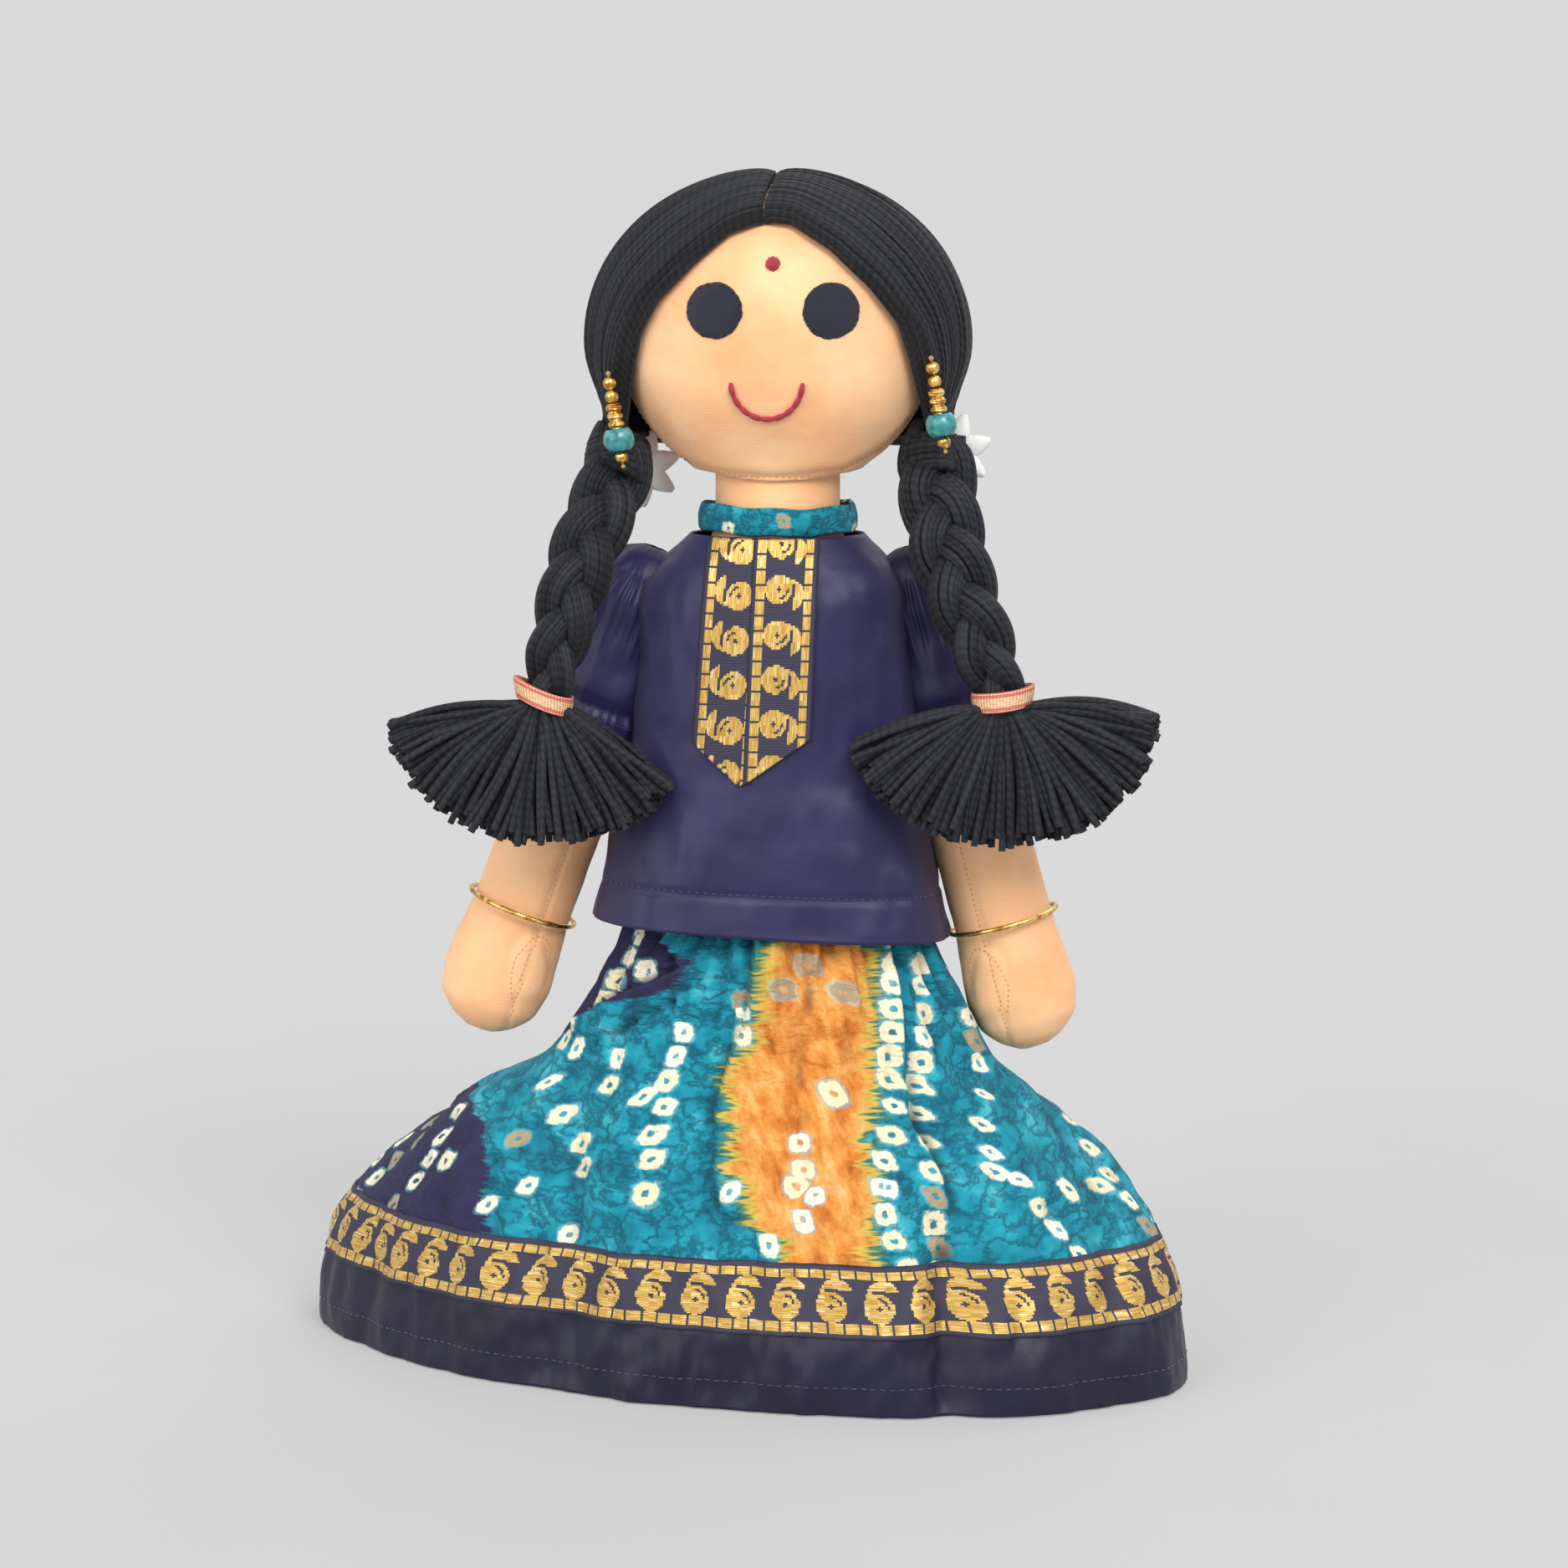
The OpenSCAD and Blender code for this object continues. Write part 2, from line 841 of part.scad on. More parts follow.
// Ovals of a leg and its foot, drawn in by inset; a row is height, forward shift, half width, half depth
function leg_rings(inset) =
    let (
        r = leg_d / 2, sole = sole_lift, foot = foot_l / 2,
        rows = [
            [sole + inset, -foot / 3, r * 0.7, foot * 0.86], [sole + 4, -foot / 3, r * 0.86, foot],
            [sole + 12, -foot / 4, r * 0.84, foot * 0.86], [sole + 22, -1, r * 0.74, r * 0.8],
            [mix(sole, hip_h, 0.55), 0, r * 0.88, r * 0.88], [hip_h, 0, r, r]
        ]
    )
    concat(
        [for (p = rows) oval([0, p[1], p[0]], p[2] - inset, p[3] - inset)],
        [
            for (turn = dome)
                let (level = (r - inset) * cos(turn))
                    oval([0, 0, hip_h + (r - inset) * sin(turn)], level, level)
        ]
    );

module leg_cover(side) {
    color("peachpuff")
    translate([side * hip_gap / 2, 0, 0])
        difference() {
            skin(leg_rings(0));
            skin(leg_rings(cover_t));
        }
}

module leg_stuffing(side) {
    color("white") translate([side * hip_gap / 2, 0, 0]) skin(leg_rings(cover_t + lay));
}

module leg_left_cover() {
    leg_cover(1);
}

module leg_left_stuffing() {
    leg_stuffing(1);
}

module leg_right_cover() {
    leg_cover(-1);
}

module leg_right_stuffing() {
    leg_stuffing(-1);
}

torso_cover();
torso_stuffing();
tunic_front();
tunic_back();
collar_band();
placket_left();
placket_right();
skirt_waistband();
waist_elastic();
skirt_cloth();
skirt_ribbon();
skirt_hem_band();
head_front();
head_back();
head_stuffing();
hair_left();
hair_right();
parting_stitch();
eye_left();
eye_right();
bindi();
mouth();
flower_left();
flower_right();
braid_left();
hair_tie_left();
tassel_left();
braid_right();
hair_tie_right();
tassel_right();
earring_left_thread();
earring_left_gold();
earring_left_tube();
earring_left_teal();
earring_right_thread();
earring_right_gold();
earring_right_tube();
earring_right_teal();
arm_left_cover();
arm_left_stuffing();
sleeve_left();
bangle_left();
arm_right_cover();
arm_right_stuffing();
sleeve_right();
bangle_right();
leg_left_cover();
leg_left_stuffing();
leg_right_cover();
leg_right_stuffing();
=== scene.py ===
"""A stuffed cotton doll in Rajasthani dress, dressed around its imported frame.

The doll looks along -Y, its left arm is on +X, and the origin is on the floor under its neck. Sizes in
the classes are in millimetres; every finished mesh is in metres.
"""
import json
import logging
import math
import random
from dataclasses import dataclass, field
from enum import Enum
from typing import Iterable, Sequence

import bpy
import numpy as np
from mathutils import Matrix, Vector, noise
from mathutils.bvhtree import BVHTree


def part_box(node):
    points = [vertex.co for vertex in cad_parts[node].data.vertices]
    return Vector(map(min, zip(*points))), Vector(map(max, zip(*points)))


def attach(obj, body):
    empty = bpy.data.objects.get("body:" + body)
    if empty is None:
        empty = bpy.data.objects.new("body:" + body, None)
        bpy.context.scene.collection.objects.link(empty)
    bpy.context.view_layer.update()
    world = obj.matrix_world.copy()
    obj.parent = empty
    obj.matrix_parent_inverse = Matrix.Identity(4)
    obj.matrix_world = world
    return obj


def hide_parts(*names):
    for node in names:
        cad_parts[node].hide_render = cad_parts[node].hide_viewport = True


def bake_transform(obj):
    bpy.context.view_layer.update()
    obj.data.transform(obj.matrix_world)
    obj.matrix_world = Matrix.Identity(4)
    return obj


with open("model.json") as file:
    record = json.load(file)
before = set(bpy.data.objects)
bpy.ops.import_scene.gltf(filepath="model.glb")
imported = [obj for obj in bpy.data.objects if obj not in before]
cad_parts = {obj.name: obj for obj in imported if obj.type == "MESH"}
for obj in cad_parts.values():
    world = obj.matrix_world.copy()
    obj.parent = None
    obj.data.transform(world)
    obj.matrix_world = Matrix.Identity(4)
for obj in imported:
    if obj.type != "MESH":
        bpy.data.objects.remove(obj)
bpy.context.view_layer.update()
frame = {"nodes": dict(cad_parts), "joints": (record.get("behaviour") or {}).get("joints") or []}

log = logging.getLogger("doll")
MM = 0.001


class Side(Enum):
    """The doll's own left and right."""

    LEFT = 1
    RIGHT = -1

    @property
    def word(self) -> str:
        """The side's name as the frame spells it."""
        return self.name.lower()


# ---- Shader tools ----


def dye(red: float, green: float, blue: float) -> tuple[float, float, float, float]:
    """Turn a dye given in display values from 0 to 255 into a scene colour.

    Args:
        red: Red, 0 to 255.
        green: Green, 0 to 255.
        blue: Blue, 0 to 255.

    Returns:
        The linear colour with full alpha.
    """
    parts = [c / 255 for c in (red, green, blue)]
    line = [c / 12.92 if c <= 0.04045 else ((c + 0.055) / 1.055) ** 2.4 for c in parts]
    return line[0], line[1], line[2], 1.0


class Wire:
    """A number that changes over the surface, written like a number."""

    def __init__(self, shader: "Shader", socket: bpy.types.NodeSocket) -> None:
        """Hold one output socket of a shader."""
        self.shader = shader
        self.socket = socket

    def math(self, operation: str, *others: "Wire | float", swap: bool = False) -> "Wire":
        """Add one Math node.

        Args:
            operation: The node's operation.
            others: Its further values.
            swap: Whether this wire is the last value and not the first.

        Returns:
            The node's result.
        """
        values = [self, *others]
        if swap:
            values.reverse()
        made = self.shader.node("ShaderNodeMath", {"operation": operation}, dict(enumerate(values)))
        return Wire(self.shader, made.outputs[0])

    def __add__(self, other: "Wire | float") -> "Wire":
        """Sum."""
        return self.math("ADD", other)

    __radd__ = __add__

    def __sub__(self, other: "Wire | float") -> "Wire":
        """Difference."""
        return self.math("SUBTRACT", other)

    def __rsub__(self, other: float) -> "Wire":
        """Difference from a number."""
        return self.math("SUBTRACT", other, swap=True)

    def __mul__(self, other: "Wire | float") -> "Wire":
        """Product."""
        return self.math("MULTIPLY", other)

    __rmul__ = __mul__

    def __truediv__(self, other: "Wire | float") -> "Wire":
        """Quotient."""
        return self.math("DIVIDE", other)

    def __mod__(self, other: float) -> "Wire":
        """Remainder that is never negative."""
        return self.math("FLOORED_MODULO", other)

    def __pow__(self, other: float) -> "Wire":
        """Power."""
        return self.math("POWER", other)

    def __lt__(self, other: "Wire | float") -> "Wire":
        """1 where this is smaller."""
        return self.math("LESS_THAN", other)

    def __gt__(self, other: "Wire | float") -> "Wire":
        """1 where this is larger."""
        return self.math("GREATER_THAN", other)

    def __abs__(self) -> "Wire":
        """Size without sign."""
        return self.math("ABSOLUTE")

    def floor(self) -> "Wire":
        """The whole number below."""
        return self.math("FLOOR")

    def wave(self, pitch: float) -> "Wire":
        """A sine that repeats each pitch."""
        return (self * (math.tau / pitch)).math("SINE")

    def least(self, other: "Wire | float") -> "Wire":
        """The smaller of two."""
        return self.math("MINIMUM", other)

    def most(self, other: "Wire | float") -> "Wire":
        """The larger of two."""
        return self.math("MAXIMUM", other)

    def root(self) -> "Wire":
        """Square root."""
        return self.math("SQRT")

    def step(self, low: float, high: float) -> "Wire":
        """Go smoothly from 0 at low to 1 at high."""
        made = self.shader.node(
            "ShaderNodeMapRange",
            {"interpolation_type": "SMOOTHSTEP"},
            {"Value": self, "From Min": low, "From Max": high},
        )
        return Wire(self.shader, made.outputs[0])

    def pick(self, here: "Wire | float", there: "Wire | float") -> "Wire":
        """Give here where this is 0 and there where it is 1."""
        made = self.shader.node("ShaderNodeMix", {"data_type": "FLOAT"}, {0: self, 2: here, 3: there})
        return Wire(self.shader, made.outputs[0])


Colour = "bpy.types.NodeSocket | tuple[float, float, float, float]"


class Shader:
    """The node tree of one finish."""

    def __init__(self, name: str) -> None:
        """Start an empty material."""
        self.material = bpy.data.materials.new(name)
        self.material.use_nodes = True
        self.tree = self.material.node_tree
        self.tree.nodes.clear()

    def node(self, kind: str, settings: dict | None = None, sockets: dict | None = None) -> bpy.types.Node:
        """Add any node.

        Args:
            kind: The node's type.
            settings: Its properties; "stops" fills a colour ramp and "points" a float curve.
            sockets: Values or links by the socket's name or index.

        Returns:
            The node.
        """
        made = self.tree.nodes.new(kind)
        for key, value in (settings or {}).items():
            if key == "stops":
                ramp = made.color_ramp.elements
                while len(ramp) < len(value):
                    ramp.new(1.0)
                for element, (place, colour) in zip(ramp, value):
                    element.position = place
                    element.color = colour
            elif key == "points":
                curve = made.mapping.curves[0]
                while len(curve.points) < len(value):
                    curve.points.new(0.5, 0.5)
                for point, place in zip(curve.points, value):
                    point.location = place
                made.mapping.update()
            else:
                setattr(made, key, value)
        for key, value in (sockets or {}).items():
            socket = made.inputs[key]
            if isinstance(value, Wire):
                value = value.socket
            if isinstance(value, bpy.types.NodeSocket):
                self.tree.links.new(value, socket)
            else:
                socket.default_value = value
        return made

    def place(self) -> tuple[Wire, Wire, Wire]:
        """The point on the doll in millimetres."""
        coords = self.node("ShaderNodeTexCoord").outputs["Object"]
        return self.split(coords)

    def cloth(self) -> tuple[Wire, Wire]:
        """The place on the flat cloth in millimetres, along and up."""
        u, v, _ = self.split(self.node("ShaderNodeUVMap", {"uv_map": "cloth"}).outputs[0])
        return u, v

    def split(self, vector: bpy.types.NodeSocket) -> tuple[Wire, Wire, Wire]:
        """The three parts of a vector in metres, in millimetres."""
        parts = self.node("ShaderNodeSeparateXYZ", sockets={0: vector})
        x, y, z = (Wire(self, parts.outputs[i]) * 1000 for i in range(3))
        return x, y, z

    def attribute(self, name: str) -> bpy.types.Node:
        """An attribute of the mesh."""
        return self.node("ShaderNodeAttribute", {"attribute_name": name})

    def vector(self, *parts: "Wire | float") -> bpy.types.NodeSocket:
        """Join up to three numbers in a vector."""
        return self.node("ShaderNodeCombineXYZ", sockets=dict(enumerate(parts))).outputs[0]

    def noise(self, size: float, *parts: Wire, detail: float = 2.0, rough: float = 0.5) -> Wire:
        """Soft noise from 0 to 1.

        Args:
            size: The size of its blotches, in the unit of the parts.
            parts: One to three coordinates.
            detail: How many finer layers it has.
            rough: How strong they are.

        Returns:
            The noise.
        """
        made = self.node(
            "ShaderNodeTexNoise",
            sockets={"Vector": self.vector(*parts), "Scale": 1 / size, "Detail": detail, "Roughness": rough},
        )
        return Wire(self, made.outputs[0])

    def chance(self, *parts: "Wire | float") -> tuple[Wire, Wire, Wire]:
        """Three unlinked numbers from 0 to 1 that depend only on the parts."""
        made = self.node("ShaderNodeTexWhiteNoise", sockets={"Vector": self.vector(*parts)})
        x, y, z = self.node("ShaderNodeSeparateXYZ", sockets={0: made.outputs["Color"]}).outputs
        return Wire(self, x), Wire(self, y), Wire(self, z)

    def course(self, value: Wire, points: Sequence[tuple[float, float]]) -> Wire:
        """Follow a smooth line through points.

        Args:
            value: Where on the line.
            points: Pairs of value and result, in rising order of the value.

        Returns:
            The result.
        """
        low, high = points[0][0], points[-1][0]
        base = min(p[1] for p in points) - 1
        span = max(p[1] for p in points) + 1 - base
        made = self.node(
            "ShaderNodeFloatCurve",
            {"points": [((a - low) / (high - low), (b - base) / span) for a, b in points]},
            {"Value": (value - low) / (high - low)},
        )
        return Wire(self, made.outputs[0]) * span + base

    def mix(self, share: "Wire | float", here: Colour, there: Colour) -> bpy.types.NodeSocket:
        """Blend two colours, from here at 0 to there at 1."""
        made = self.node(
            "ShaderNodeMix", {"data_type": "RGBA", "clamp_factor": True}, {0: share, 6: here, 7: there}
        )
        return made.outputs[2]

    def ramp(self, value: Wire, *stops: tuple[float, tuple]) -> bpy.types.NodeSocket:
        """Colour a number by stops of place and colour."""
        return self.node("ShaderNodeValToRGB", {"stops": stops}, {0: value}).outputs[0]

    def finish(self, bump: Wire | None = None, depth: float = 0.1, **sockets) -> bpy.types.Material:
        """Close the tree with a surface.

        Args:
            bump: Height of the relief, from 0 to 1.
            depth: Depth of the relief in millimetres.
            sockets: Surface values, with underscores for spaces in the names.

        Returns:
            The material.
        """
        given = {name.replace("_", " "): value for name, value in sockets.items()}
        if bump is not None:
            relief = self.node("ShaderNodeBump", sockets={"Height": bump, "Distance": depth * MM})
            given["Normal"] = relief.outputs[0]
        surface = self.node("ShaderNodeBsdfPrincipled", sockets=given)
        end = self.node("ShaderNodeOutputMaterial")
        self.tree.links.new(surface.outputs[0], end.inputs[0])
        return self.material


# ---- Finishes ----


@dataclass(frozen=True)
class Cotton:
    """Plain woven or knitted cotton of one colour."""

    name: str
    low: tuple = dye(238, 170, 116)
    high: tuple = dye(255, 214, 168)
    thread: float = 0.42
    blotch: float = 24.0

    def make(self) -> bpy.types.Material:
        """Build the material."""
        s = Shader(self.name)
        x, y, z = s.place()
        tone = s.noise(self.blotch, x, y, z, detail=3) * 1.7 - 0.35
        slub = s.noise(1.0, x * 0.35, y * 0.35, z * 3.2, detail=2)
        weft = z.wave(self.thread) * 0.5 + 0.5
        warp = (x + y * 0.7).wave(self.thread * 1.1) * 0.5 + 0.5
        grain = weft * 0.6 + warp * 0.4
        base = s.mix(tone, self.low, self.high)
        base = s.mix((1 - slub) * 0.22, base, self.low)
        base = s.mix((1 - grain) * 0.10, base, self.low)
        return s.finish(grain + slub * 0.6, 0.07, Base_Color=base, Roughness=0.88, Sheen_Weight=0.15)


@dataclass(frozen=True)
class Satin:
    """Navy satin with a soft, directional shine."""

    name: str
    low: tuple = dye(22, 19, 50)
    high: tuple = dye(50, 45, 94)

    def make(self) -> bpy.types.Material:
        """Build the material."""
        s = Shader(self.name)
        u, v = s.cloth()
        x, y, z = s.place()
        tone = s.noise(30, x, y, z, detail=2)
        thread = s.noise(0.35, u, v * 0.12, detail=2, rough=0.7)
        cross = s.noise(0.5, u * 0.3, v, detail=1)
        base = s.mix(tone * 0.9 - 0.1, self.low, self.high)
        # Painted sheen: the colour is lightened along the threads' streaks.
        base = s.mix((thread - 0.35) * 0.5, base, self.high)
        shine = 0.36 + thread * 0.12 + cross * 0.06
        return s.finish(
            thread * 0.7 + cross * 0.5, 0.05, Base_Color=base, Roughness=shine,
            Specular_IOR_Level=0.35, Anisotropic=0.45, Sheen_Weight=0.05,
        )


@dataclass(frozen=True)
class Line:
    """A line drawn on the skirt's cloth: pairs of height over the floor and place round the skirt."""

    points: tuple[tuple[float, float], ...]
    lag: float = 0.0

    def span(self) -> tuple[float, float]:
        """The lowest and highest height of the line."""
        return self.points[0][0], self.points[-1][0]


@dataclass(frozen=True)
class Bandhani:
    """Tie-dyed cotton: teal and navy panels, one orange panel with feathered edges, rings of resist, and painted shade
    where the cloth carries a crease mask.
    """

    name: str
    panels: bool = True
    pitch: float = 6.3
    ring: float = 3.0
    orange_left: Line = Line(((30, 4), (42, 3.5), (48, -3), (67, -12.5), (79, -14), (97, -6.5), (125, -2)))
    orange_right: Line = Line(((30, 31), (41, 30.3), (68, 28.7), (93, 28.8), (125, 27)))
    navy_left: Line = Line(
        ((30, -84), (50, -86), (61, -88), (70, -95), (75, -110), (84, -90), (95, -63), (101, -51),
         (114, -21.5), (119, -28), (125, -38))
    )
    navy_right: Line = Line(((30, 185), (42, 172), (60, 150), (80, 112), (100, 92), (125, 74)))
    chains: tuple[Line, ...] = (
        Line(((44, -90), (50, -82), (57, -65), (63, -53), (67, -57), (84, -76))),
        Line(((60, -34), (73, -30.5), (84, -28), (98, -25)), 2.0),
        Line(((32, 40), (42, 37), (53, 32), (82, 32.8), (100, 31.5), (122, 32.5)), 1.0),
        Line(((32, 51), (42, 49), (62, 45), (81, 42), (100, 44), (118, 46)), 3.5),
        Line(((32, 96), (48, 80), (60, 68), (70, 60), (88, 66), (100, 60)), 0.6),
        Line(((40, 122), (50, 113), (66, 103), (84, 96), (100, 80)), 4.0),
        Line(((86, -74), (104, -53), (112, -47), (122, -42)), 2.2),
        Line(((44, -124), (52, -118), (60, -111), (70, -106)), 5.0),
        Line(((96, -9), (104, -7), (112, 8), (121, 11)), 1.4),
        Line(((44, -1), (56, 12), (64, 9), (74, 8)), 3.0),
        Line(((76, -50), (84, -47), (92, -44)), 4.4),
    )

    def feather(self, s: Shader, u: Wire, z: Wire) -> Wire:
        """How far the dye has crept along the threads, in millimetres."""
        coarse = s.noise(1.0, u / 30, z / 4.0, detail=1)
        fine = s.noise(1.0, u / 16, z / 0.9, detail=1)
        return (coarse - 0.5) * 15 + (fine - 0.5) * 17

    def rings(self, s: Shader, u: Wire, z: Wire, slant: Wire, lean: Wire) -> tuple[Wire, Wire, Wire]:
        """Find the nearest ring of resist.

        Args:
            s: The shader.
            u: Place round the cloth.
            z: Height on the cloth.
            slant: Length of cloth for each unit of height.
            lean: How far the place round the cloth moves for each unit of height.

        Returns:
            The distance from the ring's centre in ring sizes, and two chances of its own.
        """
        best_d: Wire | float = 400.0
        best_x: Wire | float = 50.0
        best_y: Wire | float = 50.0
        best_n: Wire | float = 0.0
        back = abs(u) - 128
        m, girth, _ = s.split(s.node("ShaderNodeUVMap", {"uv_map": "laid"}).outputs[0])
        strips = (m / 31).floor()
        rows = [(line, line.lag, number * 7.3) for number, line in enumerate(self.chains)]
        for line, lag, seed in rows + [(None, 0.0, 90.0), (None, 3.1, 91.0)]:
            cell = ((z + lag) / self.pitch).floor()
            middle = (cell + 0.5) * self.pitch - lag
            if line is None:
                sway = (middle + strips * 9).wave(57) * 7
                centre = ((strips + 0.5) * 31 + sway * 0.6 + (6.5 if lag else -6.5)) * girth
                outside = 1 - (back > 0)
            else:
                low, high = line.span()
                centre = s.course(middle, line.points)
                outside = (middle < low).most(middle > high)
            if line is None:
                seed_wire = strips * 3 + cell + seed
            else:
                seed_wire = cell + seed
            if line is None:
                dx = m * girth - centre
            else:
                dx = u - centre - (z - middle) * lean
            dy = (z - middle) * slant
            far = dx * dx + dy * dy + outside * 90000
            if isinstance(best_d, float):
                best_d, best_x, best_y, best_n = far, dx, dy, seed_wire
                continue
            nearer = far < best_d
            best_x = nearer.pick(best_x, dx)
            best_y = nearer.pick(best_y, dy)
            best_n = nearer.pick(best_n, seed_wire)
            best_d = best_d.least(far)
        grid = 24.0
        column = (u / grid).floor()
        row = (z / grid).floor()
        a, b, c = s.chance(column, row, 5.0)
        rise = z - (row + 0.25 + b * 0.5) * grid
        dx = u - (column + 0.25 + a * 0.5) * grid - rise * lean
        dy = rise * slant
        far = dx * dx + dy * dy + (c > 0.62) * 90000
        nearer = far < best_d
        best_x = nearer.pick(best_x, dx)
        best_y = nearer.pick(best_y, dy)
        best_n = nearer.pick(best_n, column * 5 + row + 300)
        a, b, c = s.chance(best_n, 1.7)
        x = abs(best_x + (a - 0.5) * 1.6 + best_y * (b - 0.5) * 0.5) / (0.86 + c * 0.3)
        y = abs(best_y + (c - 0.5) * 1.2) / (0.92 + a * 0.34)
        wobble = (s.noise(1.6, u, z, detail=1) - 0.5) * 0.55
        size = (x**3 + y**3) ** (1 / 3) / self.ring + wobble
        return size, b, c

    def make(self) -> bpy.types.Material:
        """Build the material."""
        s = Shader(self.name)
        u, z = s.cloth()
        slant = Wire(s, s.attribute("slant").outputs["Fac"])
        cloud = s.noise(11, u, z, detail=4, rough=0.6)
        teal = s.ramp(
            cloud, (0.3, dye(0, 92, 114)), (0.45, dye(6, 130, 152)), (0.58, dye(28, 154, 174)),
            (0.74, dye(92, 196, 208))
        )
        crack = s.noise(7, u * 0.7 + z * 0.5, z - u * 0.35, detail=5, rough=0.62)
        crinkle = 1 - (abs(crack - 0.5) * 16).least(1.0)
        teal = s.mix(crinkle * 0.7, teal, dye(0, 66, 92))
        ground = teal
        under = teal
        if self.panels:
            creep = self.feather(s, u, z)
            navy = s.mix(cloud, dye(28, 26, 58), dye(52, 46, 88))
            left = self.navy_edge(s, z)
            right = s.course(z, self.navy_right.points)
            shore = creep * 0.35
            on_left = (left - u + shore).step(-1.5, 1.5) * (u - left + 95 + shore).step(-2, 2)
            on_right = (u - right + shore).step(-1.5, 1.5) * (right + 80 - u + shore).step(-2, 2)
            ground = s.mix(on_left.most(on_right), teal, navy)
            low = s.course(z, self.orange_left.points)
            high = s.course(z, self.orange_right.points)
            inside = (u - low).least(high - u) + creep * 0.85
            streak = s.noise(9, u * 1.4 + z * 0.4, z * 0.8, detail=5, rough=0.65)
            orange = s.ramp(
                streak, (0.3, dye(166, 82, 20)), (0.42, dye(208, 122, 40)), (0.56, dye(234, 160, 78)),
                (0.72, dye(248, 200, 134))
            )
            olive = s.mix(crinkle * 0.5, dye(74, 128, 96), dye(30, 96, 92))
            lime = s.mix(cloud, dye(196, 168, 62), dye(214, 190, 92))
            dyed = s.mix(inside.step(-3.0, -0.5), ground, olive)
            dyed = s.mix(inside.step(-0.5, 2.0), dyed, lime)
            ground = s.mix(inside.step(2.0, 5.5), dyed, orange)
            under = ground
        lean = Wire(s, s.attribute("lean").outputs["Fac"])
        size, foil, tone = self.rings(s, u, z, slant, lean)
        halo = s.mix((1 - size.step(1.0, 1.32)) * 0.55, ground, dye(130, 196, 204))
        cream = s.mix(tone, dye(250, 243, 220), dye(240, 226, 186))
        gold = s.mix(cloud, dye(196, 170, 128), dye(150, 134, 112))
        resist = s.mix((foil > 0.88) * (1 - (size < 0.2)), cream, gold)
        ring = (1 - size.step(0.9, 1.02)) * size.step(0.2, 0.36)
        base = s.mix(ring, halo, resist)
        dot = (1 - size.step(0.2, 0.36)) * (tone > 0.25)
        base = s.mix(dot * 0.75, base, under)
        weave = u.wave(0.55) * z.wave(0.55) * 0.5 + 0.5
        slub = s.noise(0.8, u * 0.4, z * 2, detail=2)
        base = s.mix((1 - weave) * 0.14, base, dye(12, 30, 44))
        # Painted shade: the colour is darkened where the skirt's folds make creases.
        crease = Wire(s, s.attribute("crease").outputs["Fac"])
        base = s.mix(crease * 0.82, base, dye(8, 22, 40))
        soft = s.noise(5.5, u, z, detail=3, rough=0.6)
        relief = weave * 0.12 + slub * 0.15 + crinkle * 0.35 + soft * 1.2
        return s.finish(relief, 0.85, Base_Color=base, Roughness=0.82, Specular_IOR_Level=0.3, Sheen_Weight=0.03)

    def navy_edge(self, s: Shader, z: Wire) -> Wire:
        """The edge of the left navy panel."""
        return s.course(z, self.navy_left.points)


@dataclass(frozen=True)
class Brocade:
    """Navy ribbon with golden curled drops between two rows of dashes. It reads u along and v across."""

    name: str
    width: float = 18.3
    pitch: float = 12.4
    dash: float = 4.2
    thread: float = 0.42

    def make(self) -> bpy.types.Material:
        """Build the material."""
        s = Shader(self.name)
        u, v = s.cloth()
        stepped_u = (u / 0.6).floor() * 0.6 + 0.3
        stepped_v = (v / self.thread).floor() * self.thread + self.thread / 2
        a = stepped_u % self.pitch - self.pitch / 2
        b = stepped_v - self.width / 2
        bowl = ((a + 0.8) * (a + 0.8) + (b + 1.3) * (b + 1.3)).root()
        hook = ((a - 0.7) * (a - 0.7) + (b - 0.9) * (b - 0.9)).root()
        arm = (abs(hook - 3.3) < 1.3).least((b > 2.4).most(a < -1.4)).least(a < 4.9)
        drop = (bowl < 4.0).most(arm)
        curl = (abs(bowl - 2.3) < 0.3).least(a + b > 0.2)
        diamond = (abs(a + 0.8) + abs(b + 1.3)) < 0.8
        seam = (abs(bowl - 4.0) < 0.36).least(b > -0.4).least(a > -2.4)
        drop = drop * (1 - curl.most(diamond).most(seam))
        side = abs(b) - (self.width / 2 - 2.5)
        stroke = ((stepped_u % self.dash) < 3.35).least(abs(side) < 1.1)
        gold = drop.most(stroke)
        chance, second, _ = s.chance((v / self.thread).floor(), (u / 2.3).floor(), 2.0)
        rib = u.wave(0.52) * 0.5 + 0.5
        shed = v.wave(self.thread) * 0.5 + 0.5
        warm = s.mix(chance, dye(206, 158, 64), dye(244, 210, 128))
        # Painted shade: the gold is darkened in the gaps between its thread rows.
        warm = s.mix((1 - shed) * 0.45, warm, dye(128, 88, 34))
        warm = s.mix((second > 0.94) * 0.5, warm, dye(255, 238, 190))
        ground = s.mix(rib, dye(26, 24, 42), dye(54, 50, 76))
        base = s.mix(gold, ground, warm)
        relief = gold * 0.6 + shed * gold * 0.4 + rib * (1 - gold) * 0.3
        return s.finish(
            relief, 0.22, Base_Color=base, Roughness=gold.pick(0.62, 0.36), Metallic=gold * 0.55
        )


